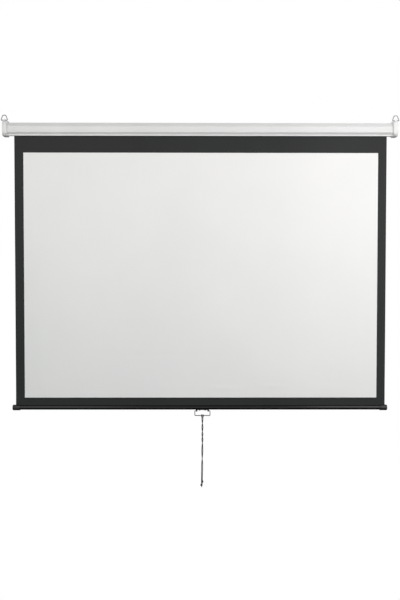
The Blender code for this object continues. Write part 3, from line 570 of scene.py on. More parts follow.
def laid_cord(name, line, free_end=False):
    """Three plies laid round the line. A free end is sealed by heat, so its last rings close in."""
    line = evenly(line, CORD_STEP)
    side = Vector((1.0, 0.0, 0.0))
    rings = []
    for i, point in enumerate(line):
        along = (line[min(i + 1, len(line) - 1)] - line[max(i - 1, 0)]).normalized()
        side = (side - along * side.dot(along)).normalized()
        other = along.cross(side)
        narrowed = 1.0
        if free_end and len(line) - i <= len(CORD_END):
            narrowed = CORD_END[len(line) - i - 1]
        ring = []
        for k in range(PLIES * PLY_POINTS):
            a = 2 * math.pi * k / (PLIES * PLY_POINTS)
            radius = CORD_RADIUS * narrowed * (1 - VALLEY + VALLEY * abs(math.cos(PLIES * a / 2)))
            a += 2 * math.pi * i * CORD_STEP / LAY_LENGTH
            ring.append(point + (side * math.cos(a) + other * math.sin(a)) * radius)
        rings.append(ring)
    return loft(name, rings)


print("cord, mm:", round(2 * CORD_RADIUS / MM, 1), "thick, one turn in", round(LAY_LENGTH / MM))

# %% The routes of the hitch and the strands
TWIST = (
    (-2.05, 0.0, 6.3),
    (-2.05, 0.0, 14.0),
    (-1.45, -1.45, 24.0),
    (0.0, -2.05, 33.0),
    (1.45, -1.45, 42.0),
    (2.05, 0.0, 51.0),
    (1.45, 1.45, 60.0),
    (0.0, 2.05, 69.0),
    (-1.45, 1.45, 74.5),
    (-2.05, 0.0, 80.0),
    (-1.45, -1.45, 85.5),
    (0.0, -2.05, 91.0),
    (1.45, -1.45, 97.5),
    (2.05, 0.0, 104.0),
    (1.45, 1.45, 110.5),
    (0.0, 2.05, 117.0),
)
FRONT_STRAND = TWIST + (
    (-1.65, 1.5, 132.0),
    (-2.45, 0.0, 150.0),
    (-2.1, -1.5, 168.0),
    (-0.8, -2.05, 186.0),
    (0.6, -1.5, 200.0),
    (1.0, -0.35, 215.0),
    (0.9, -0.6, 230.0),
    (0.6, -1.15, 245.0),
    (0.0, -2.0, 262.0),
    (-0.45, -2.7, 277.0),
)
BACK_STRAND = tuple((-across, -back, down) for across, back, down in TWIST) + (
    (1.3, -1.5, 132.0),
    (1.65, 0.0, 150.0),
    (0.8, 1.5, 168.0),
    (-0.8, 2.05, 186.0),
    (-2.45, 1.5, 200.0),
    (-3.15, 0.35, 215.0),
    (-3.3, 0.95, 230.0),
    (-3.5, 2.2, 245.0),
    (-3.75, 4.1, 262.0),
    (-3.75, 5.25, 277.0),
    (-3.65, 5.15, 287.0),
    (-3.65, 4.7, 294.0),
)
HALF_HITCH = (
    (-2.05, 0.0, 7.06),
    (-2.05, 0.57, 5.92),
    (-2.11, 2.39, 3.98),
    (-2.22, 3.7, 0.8),
    (-2.46, 2.62, -2.73),
    (-2.81, 0.0, -3.81),
    (-3.16, -2.73, -2.67),
    (-3.63, -3.93, 0.34),
    (-3.63, -3.98, 3.3),
    (-2.69, -3.93, 5.92),
    (-1.05, -3.87, 7.06),
)
wire_at = joint_at["cord_swing"]


def from_wire(point):
    """A point of the cord, given across, back and down from the handle's wire in millimetres."""
    across, back, down = point
    return wire_at + Vector((across, back, -down)) * MM


hitch_line = HALF_HITCH + tuple((-across, back, down) for across, back, down in HALF_HITCH[::-1])
print("points: hitch", len(hitch_line), "front", len(FRONT_STRAND), "back", len(BACK_STRAND))

# %% [markdown]
# Each strand ends in a stopper knot. The cord winds round itself with its turns lying side by
# side, so the knot is one more laid cord, on a helix whose two ends tuck in.

# %% Stopper knots
KNOT_PITCH = 2.1 * CORD_RADIUS
KNOT_DROP = 1.2 * CORD_RADIUS
KNOT_STEPS = 8
KNOT_START = 0.6
TUCKED = 0.4
LEAN = 0.5 * MM


def barrel_knot(name, top, turns, width, height):
    """A stopper knot: the cord winds round its own end, which leaves below as a short sealed tail."""
    count = round(turns * KNOT_STEPS)
    wraps = []
    for i in range(count + 1):
        a = 2 * math.pi * i / KNOT_STEPS + KNOT_START
        reach = TUCKED + (1 - TUCKED) * min(1.0, i / 2, (count - i) / 2)
        reach *= width / 2 - CORD_RADIUS
        down = -KNOT_DROP - KNOT_PITCH * i / KNOT_STEPS + LEAN * math.cos(a)
        wraps.append(top + Vector((reach * math.cos(a), reach * math.sin(a), down)))
    core = [(0, 0, 1.5 * MM), (0, 0, -0.3 * height)]
    core += [(0.2 * MM, 0, -0.75 * height), (0.8 * MM, -0.5 * MM, -height)]
    knot = laid_cord(name, smooth_line(wraps, 6), free_end=True)
    tail = laid_cord("tail", [top + point for point in smooth_line(core, 6)], free_end=True)
    shape = bmesh.new()
    shape.from_mesh(knot.data)
    shape.from_mesh(tail.data)
    shape.to_mesh(knot.data)
    shape.free()
    bpy.data.objects.remove(tail, do_unlink=True)
    return knot


print("one turn of a knot takes", round(KNOT_PITCH / MM, 1), "mm of its height")

# %% Hitch, strands and their knots
hitch = laid_cord("cord_larks_head", smooth_line([from_wire(point) for point in hitch_line], 6))
seat(hitch, cord_black, "pull_cord", "black_cord", "cord_hitch")

strands = []
for name, route, knot_name, turns, width, height in (
    ("cord_front_strand_laid", FRONT_STRAND, "upper_knot", 2.6, 10.4 * MM, 16.8 * MM),
    ("cord_back_strand_laid", BACK_STRAND, "lower_knot", 2.1, 10.0 * MM, 16.5 * MM),
):
    line = smooth_line([from_wire(point) for point in route], 12)
    knot = barrel_knot(knot_name, line[-1], turns, width, height)
    seat(knot, cord_black, "pull_cord", "black_cord", knot_name.replace("_", "_cord_"))
    strand = laid_cord(name, line)
    seat(strand, cord_black, "pull_cord", "black_cord", name.replace("_laid", ""))
    strands.append((strand, line, knot))
    print(name, round(length_of(line) / MM), "mm")

# %% [markdown]
# Each strand ends in its stopper knot. The photograph shows them from end to end, and their
# lengths are read from it.

for (strand, line, knot), others in zip(strands, ([hitch], [])):
    print(strand.name, "ends in", knot.name)

# %% [markdown]
# ## The case
# The real case is one long sheet, bent round to eight facets with a slot at the lower front. A
# bend in 1.5 mm steel has a radius of its own, and that small round is what catches the light
# between two facets. A bevel could round a plain octagon afterwards, but its width would change
# with the angle of each corner. So the outline is drawn once along the outer face with rounded
# corners, and again one wall inside. Inside three corners run the ports that take the end screws.

# %% The case's corners and screw ports
CASE_WALL = 1.5 * MM
BEND_RADIUS = 1.8 * MM
BEND_STEPS = 6
SLOT_FRONT_ROOM = 5.0 * MM
LIP_HEIGHT = 5.9 * MM
SLOT_REAR_ROOM = 2.4 * MM
REAR_LIP = 4.0 * MM
CLOTH = 0.4 * MM
PORT_RADIUS = 3.4 * MM
PORT_BORE = 1.8 * MM
PORT_ANGLES = (67.5, 112.5, -67.5)

case_low, case_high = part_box("case_shell")
case_middle = (case_low + case_high) / 2
across_flats = case_high.z - case_low.z
cloth_low, cloth_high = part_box("fabric_base")
cloth_y = cloth_low.y + CLOTH / 2


def case_corners():
    """The case's corners of (y, z) from its middle, from the slot's front lip up and round behind it."""
    half = across_flats / 2
    corner = half * math.tan(math.pi / 8)
    lip = cloth_y - case_middle.y - SLOT_FRONT_ROOM - CASE_WALL
    rear = cloth_y - case_middle.y + SLOT_REAR_ROOM
    return [
        (lip, -half),
        (lip, LIP_HEIGHT - half),
        (-half, LIP_HEIGHT + lip),
        (-half, corner),
        (-corner, half),
        (corner, half),
        (half, corner),
        (half, -corner),
        (corner, -half),
        (rear, -half),
        (rear, REAR_LIP - half),
    ]


def port_places():
    """The middles of the three screw ports as (y, z) from the case's middle."""
    reach = (across_flats / 2 - CASE_WALL) / math.cos(math.pi / 8) - PORT_RADIUS
    return [(reach * math.cos(a), reach * math.sin(a)) for a in map(math.radians, PORT_ANGLES)]


print("screw ports, mm off the axis:", [round(math.hypot(y, z) / MM, 1) for y, z in port_places()])

# %% Case, with rounded bends and screw ports
corners = case_corners()
outer_radii = [0] + [BEND_RADIUS] * (len(corners) - 2) + [0]
inner_radii = [max(0, radius - CASE_WALL) for radius in outer_radii]
outer = rounded(corners, outer_radii, BEND_STEPS, closed=False)
inner = rounded(moved_path(corners, CASE_WALL), inner_radii, BEND_STEPS, closed=False)
outline = [(case_middle.y + p.x, case_middle.z + p.y) for p in outer + inner[::-1]]
case = extrude("powder_coated_case", outline, (case_low.x, case_high.x))
seat(case, coat_white, "case", "white_enamel", "case_shell")

for number, (y, z) in enumerate(port_places(), 1):
    middle = (case_middle.y + y, case_middle.z + z)
    rings = []
    for radius, x in (
        (PORT_RADIUS, case_low.x),
        (PORT_RADIUS, case_high.x),
        (PORT_BORE, case_high.x),
        (PORT_BORE, case_low.x),
    ):
        rings.append([(x, *point) for point in circle(middle, radius, 24)])
    port = loft(f"screw_port_{number}", rings, closed=True)
    seat(port, coat_white, "case", "white_enamel")
print("case, mm:", [round(side / MM, 1) for side in case_high - case_low])

# %% [markdown]
# ## The end caps
# Each cap is a rounded box, deeper and taller than the case, so that the case's end sits in its
# socket. The front corners are round and the rear ones, on the wall side, much tighter. The outer
# edge has a three millimetre fillet. On top stands a lug with the eye for the hanging loop, with a
# small fillet at its foot, as any moulding has. A bevelled box would give all its corners the same
# radius, so rings of one outline, drawn in step by step, make the body here. The socket, the eye
# and the screw holes are cut from it.

# %% Outlines of the end caps
CAP_CORNER_FRONT = 21.0 * MM
CAP_CORNER_REAR = 8.0 * MM
CAP_FILLET = 3.0 * MM
CAP_INNER_EDGE = 0.8 * MM
LUG_HALF_WIDTH = 4.5 * MM
LUG_RADIUS = 3.5 * MM
LUG_PIVOT_HEIGHT = 3.4 * MM
LUG_FOOT = 1.6 * MM
EYE_RADIUS = 2.2 * MM
SOCKET_GAP = 0.3 * MM
SOCKET_FLOOR = 10.6 * MM
SCREW_HOLE = 1.8 * MM
COUNTERBORE = 3.8 * MM
COUNTERBORE_DEPTH = 3.0 * MM
CHAMFER = 0.8 * MM


def cap_ring(low, high, x, inset):
    """The cap's outline at x, drawn in by inset."""
    corners = [
        (low.y + inset, low.z + inset),
        (high.y - inset, low.z + inset),
        (high.y - inset, high.z - inset),
        (low.y + inset, high.z - inset),
    ]
    large = CAP_CORNER_FRONT - inset
    small = CAP_CORNER_REAR - inset
    return [(x, p.x, p.y) for p in rounded(corners, [large, small, small, large], 14)]


def lug_outline(pivot, foot):
    """A tab round its pivot, from one foot over the top to the other, with filleted feet."""
    y, z = pivot
    base = z - foot
    over = arc((y, z), LUG_RADIUS, 0, 180, 16)
    left = arc((y - LUG_RADIUS - LUG_FOOT, base + LUG_FOOT), LUG_FOOT, 0, -90, 5)
    right = arc((y + LUG_RADIUS + LUG_FOOT, base + LUG_FOOT), LUG_FOOT, 270, 180, 5)
    below = base - MM
    return over + left + [(left[-1][0], below), (right[0][0], below)] + right


print("points round a lug:", len(lug_outline((0, 0), LUG_PIVOT_HEIGHT)))


# %% End caps
def end_cap(word, side):
    """One moulded cap, with its socket, its lug and eye, and three counterbored screw holes."""
    node_name = f"{word}_end_cap"
    low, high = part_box(node_name)
    pivot = joint_at[f"{word}_loop_swing"]
    high.z = pivot.z - LUG_PIVOT_HEIGHT
    inner_x, outer_x = (high.x, low.x) if side < 0 else (low.x, high.x)
    rings = []
    for i in range(4):
        a = math.radians(30 * i)
        x = inner_x + side * CAP_INNER_EDGE * (1 - math.cos(a))
        rings.append(cap_ring(low, high, x, CAP_INNER_EDGE * (1 - math.sin(a))))
    for i in range(8):
        a = math.radians(90 * i / 7)
        x = outer_x - side * CAP_FILLET * (1 - math.sin(a))
        rings.append(cap_ring(low, high, x, CAP_FILLET * (1 - math.cos(a))))
    cap = loft(f"moulded_{node_name}", rings)
    tab = lug_outline((pivot.y, pivot.z), LUG_PIVOT_HEIGHT)
    places = (pivot.x - LUG_HALF_WIDTH, pivot.x + LUG_HALF_WIDTH)
    carve(cap, extrude("lug", tab, places), "UNION")
    eye = circle((pivot.y, pivot.z), EYE_RADIUS, 32)
    carve(cap, extrude("eye", eye, (pivot.x - 2 * LUG_HALF_WIDTH, pivot.x + 2 * LUG_HALF_WIDTH)))
    socket = moved_path(case_corners()[:-2], -SOCKET_GAP, closed=True)
    socket = rounded(socket, [BEND_RADIUS] * len(socket), 4)
    socket = [(case_middle.y + p.x, case_middle.z + p.y) for p in socket]
    carve(cap, extrude("socket", socket, sorted((inner_x - side * MM, inner_x + side * SOCKET_FLOOR))))
    for y, z in port_places():
        profile = [
            (inner_x, AXIS_POINT),
            (inner_x, SCREW_HOLE),
            (outer_x - side * COUNTERBORE_DEPTH, SCREW_HOLE),
            (outer_x - side * COUNTERBORE_DEPTH, COUNTERBORE),
            (outer_x - side * CHAMFER / 2, COUNTERBORE),
            (outer_x + side * CHAMFER / 2, COUNTERBORE + CHAMFER),
            (outer_x + side * MM, COUNTERBORE + CHAMFER),
            (outer_x + side * MM, AXIS_POINT),
        ]
        carve(cap, turn("screw_hole", profile, (0, case_middle.y + y, case_middle.z + z), 32))
    seat(cap, abs_white, "case", "white_plastic", node_name)
    return cap


for word, side in (("left", -1), ("right", 1)):
    cap = end_cap(word, side)
    print(cap.name, "has", len(cap.data.polygons), "faces")

# %% [markdown]
# ## Screws
# Eight pan-head screws hold the screen together: three in each end cap and two under the handle's
# bracket. A pan head is a low dome with a round shoulder and a tapered cross recess. One model is
# turned, its recess is cut, and copies of it share the mesh and stand in each node's place, each
# turned a little further, as a fitter leaves them. A thread is a helix, but this one is hidden in
# its hole, so rings do for it. The shank's radius is the measure of the thread, and the head's own
# radius and height are the measure of the head.

# %% One pan-head screw
SCREW_TIP = 0.02 * MM
THREAD_PITCH = 0.55
THREAD_CREST = 0.99
THREAD_ROOT = 0.78
SHOULDER = 0.35
FLAT_TOP = 0.3
CROSS_ARM = 0.52
CROSS_THIN = 0.13


def pan_screw(name, head, tall, shank, length):
    """A pan-head screw along +X, with the underside of its head at the origin and a threaded shank."""
    profile = [(length, SCREW_TIP), (length - shank, 0.8 * shank)]
    pitch = THREAD_PITCH * shank
    x = length - 1.5 * shank
    while x > pitch:
        profile += [(x, THREAD_CREST * shank), (x - pitch / 2, THREAD_ROOT * shank)]
        x -= pitch
    profile += [(0.0, THREAD_ROOT * shank), (0.0, head)]
    for i in range(7):
        a = math.radians(90 * i / 6)
        rise = SHOULDER + (1 - SHOULDER) * math.sin(a)
        profile.append((-rise * tall, head * (FLAT_TOP + (1 - FLAT_TOP) * math.cos(a))))
    profile.append((-tall, SCREW_TIP))
    screw = turn(name, profile, (0, 0, 0), 28)
    arm = CROSS_ARM * head
    thin = CROSS_THIN * head
    rings = []
    for x, share in ((-1.5 * tall, 1.15), (-SHOULDER * tall, 0.7)):
        cross = [(arm, thin), (thin, thin), (thin, arm), (-thin, arm), (-thin, thin), (-arm, thin)]
        cross += [(-y, -z) for y, z in cross]
        rings.append([(x, y * share, z * share) for y, z in cross])
    carve(screw, loft("cross", rings))
    mesh = screw.data
    bpy.data.objects.remove(screw, do_unlink=True)
    return mesh


def stand_screw(mesh, node_name, body, at, turned):
    """A screw that shares the model's mesh, in place of its node."""
    screw = bpy.data.objects.new(f"zinc_{node_name}", mesh)
    screw.location = at
    screw.rotation_euler = turned
    seat(screw, zinc, body, "plain_steel", node_name)


print("thread pitch:", THREAD_PITCH, "of the shank's radius")

# %% Screws in their places
SCREW_HEAD = 3.2 * MM
CAP_SCREW_SHANK = 1.5 * MM
HEAD_HEIGHT = 2.0 * MM
HANDLE_SCREW_SHANK = 1.3 * MM

low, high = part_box("left_cap_screw_1")
length = high.x - low.x - HEAD_HEIGHT
cap_screw = pan_screw("cap_screw", SCREW_HEAD, HEAD_HEIGHT, CAP_SCREW_SHANK, length)
print("cap screw, mm:", round(length / MM, 1), "under its head")
for word, side in (("left", -1), ("right", 1)):
    for number in (1, 2, 3):
        node_name = f"{word}_cap_screw_{number}"
        low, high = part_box(node_name)
        middle = (low + high) / 2
        x = low.x + HEAD_HEIGHT if side < 0 else high.x - HEAD_HEIGHT
        facing = 0 if side < 0 else math.pi
        spin = 0.5 + 0.9 * number + side
        stand_screw(cap_screw, node_name, "case", (x, middle.y, middle.z), (spin, 0, facing))

low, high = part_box("left_handle_screw")
length = high.z - low.z - HEAD_HEIGHT
handle_screw = pan_screw("handle_screw", SCREW_HEAD, HEAD_HEIGHT, HANDLE_SCREW_SHANK, length)
print("handle screw, mm:", round(length / MM, 1), "under its head")
for word, spin in (("left", 0.4), ("right", 1.1)):
    node_name = f"{word}_handle_screw"
    low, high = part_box(node_name)
    middle = (low + high) / 2
    at = (middle.x, middle.y, low.z + HEAD_HEIGHT)
    stand_screw(handle_screw, node_name, "batten", at, Euler((spin, -math.pi / 2, 0), "XYZ"))

# %% [markdown]
# ## Bent wire: hanging loops and handle
# The loops and the handle are wire of 3.8 mm, bent on a former. A tube could be lofted ring by ring,
# but a curve with a round bevel is the natural way to make bent wire: only its middle line is
# drawn, with an arc at each bend.

# %% Bent wire
WIRE_RADIUS = 1.9 * MM
WIRE_END_GAP = 1.0 * MM


def bent_wire(name, points, origin):
    """A round wire along the points, which are given from its origin."""
    curve = bpy.data.curves.new(name, "CURVE")
    curve.dimensions = "3D"
    curve.bevel_depth = WIRE_RADIUS
    curve.bevel_resolution = 5
    curve.use_fill_caps = True
    spline = curve.splines.new("POLY")
    spline.points.add(len(points) - 1)
    for spot, point in zip(spline.points, points):
        spot.co = (*(Vector(origin) + Vector(point)), 1.0)
    spline.use_smooth = True
    return bpy.data.objects.new(name, curve)


print("wire, mm:", round(2 * WIRE_RADIUS / MM, 1))

# %% Hanging loops
LOOP_ARCH = 9.7 * MM
LOOP_FOOT = 14.5 * MM
LOOP_BEND = 2.5 * MM

for word in ("left", "right"):
    pivot = joint_at[f"{word}_loop_swing"]
    top = -pivot.z + WIRE_RADIUS
    spring_line = top - LOOP_ARCH
    arch = [Vector((x, 0, z)) for x, z in arc((0, spring_line), LOOP_ARCH, 0, 180, 36)]
    leg = rounded(
        [(WIRE_END_GAP, 0, 0), (LOOP_FOOT, 0, 0), (LOOP_ARCH, 0, spring_line)],
        [0, LOOP_BEND, 0],
        10,
        closed=False,
    )[:-1]
    other = [Vector((-p.x, p.y, p.z)) for p in leg[::-1]]
    loop = bent_wire(f"{word}_wire_loop", leg + arch + other, pivot)
    seat(loop, zinc, f"{word}_loop", "zinc_wire", f"{word}_hanging_loop")
    print(loop.name, round(length_of(leg + arch + other) / MM), "mm of wire")

# %% Pull handle
HANDLE_HALF_WIDTH = 32.4 * MM
HANDLE_BEND = 3.2 * MM
EAR_SPACING = 49.0 * MM
EAR_THICKNESS = 6.0 * MM

pivot = joint_at["handle_swing"]
drop = wire_at.z - pivot.z
end = EAR_SPACING / 2 - EAR_THICKNESS / 2 + WIRE_END_GAP
bail_corners = [
    (end, 0, 0),
    (HANDLE_HALF_WIDTH, 0, 0),
    (HANDLE_HALF_WIDTH, 0, drop),
    (-HANDLE_HALF_WIDTH, 0, drop),
    (-HANDLE_HALF_WIDTH, 0, 0),
    (-end, 0, 0),
]
bail_line = rounded(bail_corners, [0] + [HANDLE_BEND] * 4 + [0], 12, closed=False)
seat(bent_wire("wire_handle", bail_line, pivot), zinc, "handle", "zinc_wire", "pull_handle")
print("wire_handle", round(length_of(bail_line) / MM), "mm of wire")

# %% [markdown]
# ## The batten
# A steel tube with a slot along its top. The fabric's hem goes in from one end with a rod in it, so
# that it can't pull out, and a moulded cap closes each end. The slot's lips are rolled a little, and
# the caps have a soft shoulder and a slit where the fabric passes. A slot cut from a plain tube
# would have sharp lips, so the section is drawn with its slot and the lips are half circles.

# %% Batten tube
BATTEN_WALL = 1.2 * MM
SLOT = 2.4 * MM
SCREW_CLEARANCE = 1.6 * MM

bar_low, bar_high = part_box("batten_bar")
bar_radius = (bar_high.y - bar_low.y) / 2
axis = Vector((0, (bar_low.y + bar_high.y) / 2, bar_low.z + bar_radius))
bore = bar_radius - BATTEN_WALL


def slotted_tube(outer_radius, inner_radius, slot, steps):
    """A ring of (y, z) open at the top, with its two lips rounded."""
    wall = (outer_radius - inner_radius) / 2
    middle = (outer_radius + inner_radius) / 2
    lean = math.degrees(math.asin((slot / 2 + wall) / middle))
    outside = arc((0, 0), outer_radius, 90 + lean, 450 - lean, steps)
    inside = arc((0, 0), inner_radius, 450 - lean, 90 + lean, steps)
    lips = []
    for start in (450 - lean, 90 + lean):
        a = math.radians(start)
        centre = (middle * math.cos(a), middle * math.sin(a))
        lips.append(arc(centre, wall, start, start + 180, 6)[1:-1])
    return outside + lips[0] + inside + lips[1]


def drill_for_screw(piece, node_name):
    """The upright hole of a handle screw, from under the piece to the batten's axis."""
    low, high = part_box(node_name)
    middle = (low + high) / 2
    profile = [(low.z, AXIS_POINT), (low.z, SCREW_CLEARANCE)]
    profile += [(axis.z, SCREW_CLEARANCE), (axis.z, AXIS_POINT)]
    carve(piece, turn("screw_hole", profile, (middle.x, middle.y, 0), 24, axis="Z"))


ring = [(axis.y + y, axis.z + z) for y, z in slotted_tube(bar_radius, bore, SLOT, 72)]
bar = extrude("enamelled_batten", ring, (bar_low.x, bar_high.x))
for word in ("left", "right"):
    drill_for_screw(bar, f"{word}_handle_screw")
seat(bar, enamel_black, "batten", "black_enamel", "batten_bar")
print("batten, mm:", [round(side / MM, 1) for side in bar_high - bar_low])

# %% Batten caps
CAP_SHOULDER = 4.0 * MM
CAP_RIM = 0.6 * MM
FIT = 0.3 * MM

for word, side in (("left", -1), ("right", 1)):
    node_name = f"{word}_batten_cap"
    low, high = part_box(node_name)
    radius = (high.y - low.y) / 2
    open_x, end_x = (high.x, low.x) if side < 0 else (low.x, high.x)
    wall_x = bar_low.x - FIT if side < 0 else bar_high.x + FIT
    seat_radius = bar_radius + FIT
    profile = [(wall_x, AXIS_POINT), (wall_x, seat_radius), (open_x, seat_radius)]
    for i in range(5):
        a = math.radians(90 * i / 4)
        x = open_x + side * CAP_RIM * (1 - math.cos(a))
        profile.append((x, radius - CAP_RIM * (1 - math.sin(a))))
    for i in range(9):
        a = math.radians(90 * i / 8)
        x = end_x - side * CAP_SHOULDER * (1 - math.sin(a))
        profile.append((x, radius - CAP_SHOULDER * (1 - math.cos(a))))
    profile.append((end_x, AXIS_POINT))
    cap = turn(f"moulded_{node_name}", profile, axis, 64)
    slit_top = axis.z + 2 * radius
    slit = [(axis.y - SLOT / 2, axis.z), (axis.y + SLOT / 2, axis.z)]
    slit += [(axis.y + SLOT / 2, slit_top), (axis.y - SLOT / 2, slit_top)]
    carve(cap, extrude("slit", slit, sorted((open_x - side * MM, wall_x))))
    seat(cap, abs_black, "batten", "black_plastic", node_name)
    print(cap.name, "has", len(cap.data.polygons), "faces")

# %% [markdown]
# A small saddle is screwed under the batten. Its two ears hold the ends of the handle's wire. Ears
# that only touched the saddle would show a seam, so they are joined to it as one solid, which the
# enamel covers all over.

# %% Handle bracket
SADDLE = 1.5 * MM
SADDLE_ANGLE = 100.0
EAR_RADIUS = 3.3 * MM
EAR_EDGE = 0.5 * MM

bracket_low, bracket_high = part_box("handle_bracket")
inner_radius = bar_radius + FIT
outer_radius = inner_radius + SADDLE
first = 270 - SADDLE_ANGLE / 2
last = 270 + SADDLE_ANGLE / 2
saddle = arc((axis.y, axis.z), outer_radius, first, last, 28)
saddle += arc((axis.y, axis.z), inner_radius, last, first, 28)
bracket = extrude("enamelled_handle_bracket", saddle, (bracket_low.x, bracket_high.x))
pivot = joint_at["handle_swing"]
for side in (-1, 1):
    x = pivot.x + side * EAR_SPACING / 2
    top = axis.z - inner_radius - SADDLE / 2
    rings = []
    for i in range(8):
        a = math.radians(180 * i / 7)
        inset = EAR_EDGE * (1 - math.sin(a)) if i in (0, 1, 6, 7) else 0
        place = x - EAR_THICKNESS / 2 * math.cos(a)
        tab = arc((pivot.y, pivot.z), EAR_RADIUS - inset, 180, 360, 18)
        tab += [(pivot.y + EAR_RADIUS - inset, top), (pivot.y - EAR_RADIUS + inset, top)]
        rings.append([(place, *point) for point in tab])
    carve(bracket, loft("ear", rings), "UNION")
    eye = circle((pivot.y, pivot.z), EYE_RADIUS, 32)
    carve(bracket, extrude("eye", eye, (x - EAR_THICKNESS, x + EAR_THICKNESS)))
for word in ("left", "right"):
    drill_for_screw(bracket, f"{word}_handle_screw")
seat(bracket, enamel_black, "batten", "black_enamel", "handle_bracket")
print(bracket.name, "has", len(bracket.data.polygons), "faces")

# %% [markdown]
# ## The fabric
# One sheet runs from the roller, through the slot, down to its hem in the batten. Under the batten's
# weight it is nearly flat, but not quite: the left edge rolls a little from the middle down, there
# is a faint crease where it lay on the roller, and shallow ripples rise from the handle. Cloth this
# flat needs no simulation: each swell is a smooth bell of about a millimetre or less, and the left
# edge rolls back by two, so the sheet still clears the slot as it is wound up.

# %% The fabric's place
face_low, face_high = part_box("matt_white_face")
hem_low, hem_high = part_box("hem_rod")
hem_middle = (hem_low + hem_high) / 2
sheet_top = cloth_high.z
sheet_bottom = hem_middle.z
print("white area, mm:", [round(side / MM) for side in face_high - face_low])

# %% [markdown]
# The slot above and the batten below hold the cloth flat, and it is free in between. Each row of
# `SWELLS` is one swell: how far it stands out, its place across, its height above the batten's
# axis, and how far it reaches up and across. The first is the sway near the right edge, the last
# is the crease, and both stand back instead.

# %% The fabric's relief
EDGE_CURL = 0.6 * MM
EDGE_CURL_REACH = 5.0 * MM
CURL_HELD = 0.35
LEFT_ROLL = 2.4 * MM
LEFT_ROLL_REACH = 85.0 * MM
LEFT_RIDGE = 1.1 * MM
LEFT_RIDGE_PLACE = 110.0 * MM
LEFT_RIDGE_REACH = 60.0 * MM
ROLL_STARTS = 330 * MM
ROLL_IS_FULL = 500 * MM
FLAT_OVER_FACE = 20 * MM
FREE_UNDER_TOP = 250 * MM
FLAT_OVER_BATTEN = 15 * MM
FREE_OVER_BATTEN = 90 * MM
WANDER = 0.2 * MM
FRONT_LIMIT = 1.15 * MM
REAR_LIMIT = 2.1 * MM
CREASE_HEIGHT = 225.0 * MM
SWELLS = (
    (-0.8 * MM, cloth_high.x, 90 * MM, 70 * MM, 120 * MM),
    (1.1 * MM, 0.11, 82 * MM, 10 * MM, 62 * MM),
    (1.0 * MM, 0.315, 92 * MM, 8 * MM, 50 * MM),
    (0.5 * MM, -0.15, 88 * MM, 12 * MM, 80 * MM),
    (0.5 * MM, 0.55, 80 * MM, 14 * MM, 90 * MM),
    (-0.45 * MM, -0.22, CREASE_HEIGHT, 5 * MM, 260 * MM),
)


def hump(value, centre, reach):
    """A smooth bell, 1 at its centre and nearly 0 two reaches away."""
    return math.exp(-(((value - centre) / reach) ** 2))


def ease(value, start, end):
    """From 0 at start to 1 at end, without a corner."""
    share = min(1.0, max(0.0, (value - start) / (end - start)))
    return share * share * (3 - 2 * share)


def relief(x, z):
    """How far the cloth stands behind its plane, in metres."""
    free = ease(z, face_high.z + FLAT_OVER_FACE, face_high.z - FREE_UNDER_TOP)
    free *= ease(z, axis.z + FLAT_OVER_BATTEN, axis.z + FREE_OVER_BATTEN)
    from_left = x - cloth_low.x
    from_right = cloth_high.x - x
    lower = ease(z, face_high.z - ROLL_STARTS, face_high.z - ROLL_IS_FULL)
    y = LEFT_ROLL * lower * (1 - ease(from_left, 0, LEFT_ROLL_REACH))
    y -= LEFT_RIDGE * lower * hump(from_left, LEFT_RIDGE_PLACE, LEFT_RIDGE_REACH)
    for out, across, above_batten, tall, wide in SWELLS:
        y -= out * hump(x, across, wide) * hump(z, axis.z + above_batten, tall)
    y += WANDER * free * noise.noise(Vector((1.3 * x, 0.0, 1.1 * z)))
    y *= free
    y = max(-FRONT_LIMIT, min(REAR_LIMIT - EDGE_CURL, y))
    curl = math.exp(-from_left / EDGE_CURL_REACH) + math.exp(-from_right / EDGE_CURL_REACH)
    return y + EDGE_CURL * curl * (CURL_HELD + (1 - CURL_HELD) * free)


print("left edge, 900 mm down, stands back:", round(relief(cloth_low.x, sheet_top - 0.9) / MM, 2), "mm")

# %% [markdown]
# The sheet is a grid of two sides, front and back, joined round its rim. The grid has lines along
# the edges of the white area, so that the print's edge stays sharp, and lies closer where the edges
# curl and where the crease runs.

# %% The fabric's grid
CURL_LINES = (1.5 * MM, 3.5 * MM, 7 * MM, 14 * MM, 22 * MM)


def lines_between(stops, counts):
    """Grid lines through the stops, with the given number of steps between them."""
    made = []
    for (start, end), count in zip(zip(stops, stops[1:]), counts):
        made += [start + (end - start) * i / count for i in range(count)]
    return made + [stops[-1]]


across = [cloth_low.x] + [cloth_low.x + reach for reach in CURL_LINES[:-1]]
inner_edges = (cloth_low.x + CURL_LINES[-1], cloth_high.x - CURL_LINES[-1])
across += lines_between([inner_edges[0], face_low.x, face_high.x, inner_edges[1]], [2, 90, 2])
across += [cloth_high.x - reach for reach in CURL_LINES[-2::-1]] + [cloth_high.x]
crease_z = axis.z + CREASE_HEIGHT
stops = [sheet_top, face_high.z, crease_z + 25 * MM, crease_z - 25 * MM, axis.z + 135 * MM]
stops += [face_low.z, axis.z + bar_radius, sheet_bottom]
down = lines_between(stops, [9, 50, 12, 5, 16, 6, 2])
print("grid:", len(across), "lines across and", len(down), "down")

# %% Sew the sheet from its grid
WHITE, BORDER, BACKING = 0, 1, 2

shape = bmesh.new()
sides = []
for offset in (-CLOTH / 2, CLOTH / 2):
    rows = [[shape.verts.new((x, cloth_y + relief(x, z) + offset, z)) for x in across] for z in down]
    sides.append(rows)
uv_layer = shape.loops.layers.uv.new("cloth_metres")


def lay_face(corners, material_index):
    """A face of the sheet, with its corners' places on the flat cloth as its UV."""
    face = shape.faces.new(corners)
    face.material_index = material_index
    for loop in face.loops:
        loop[uv_layer].uv = (loop.vert.co.x, loop.vert.co.z)


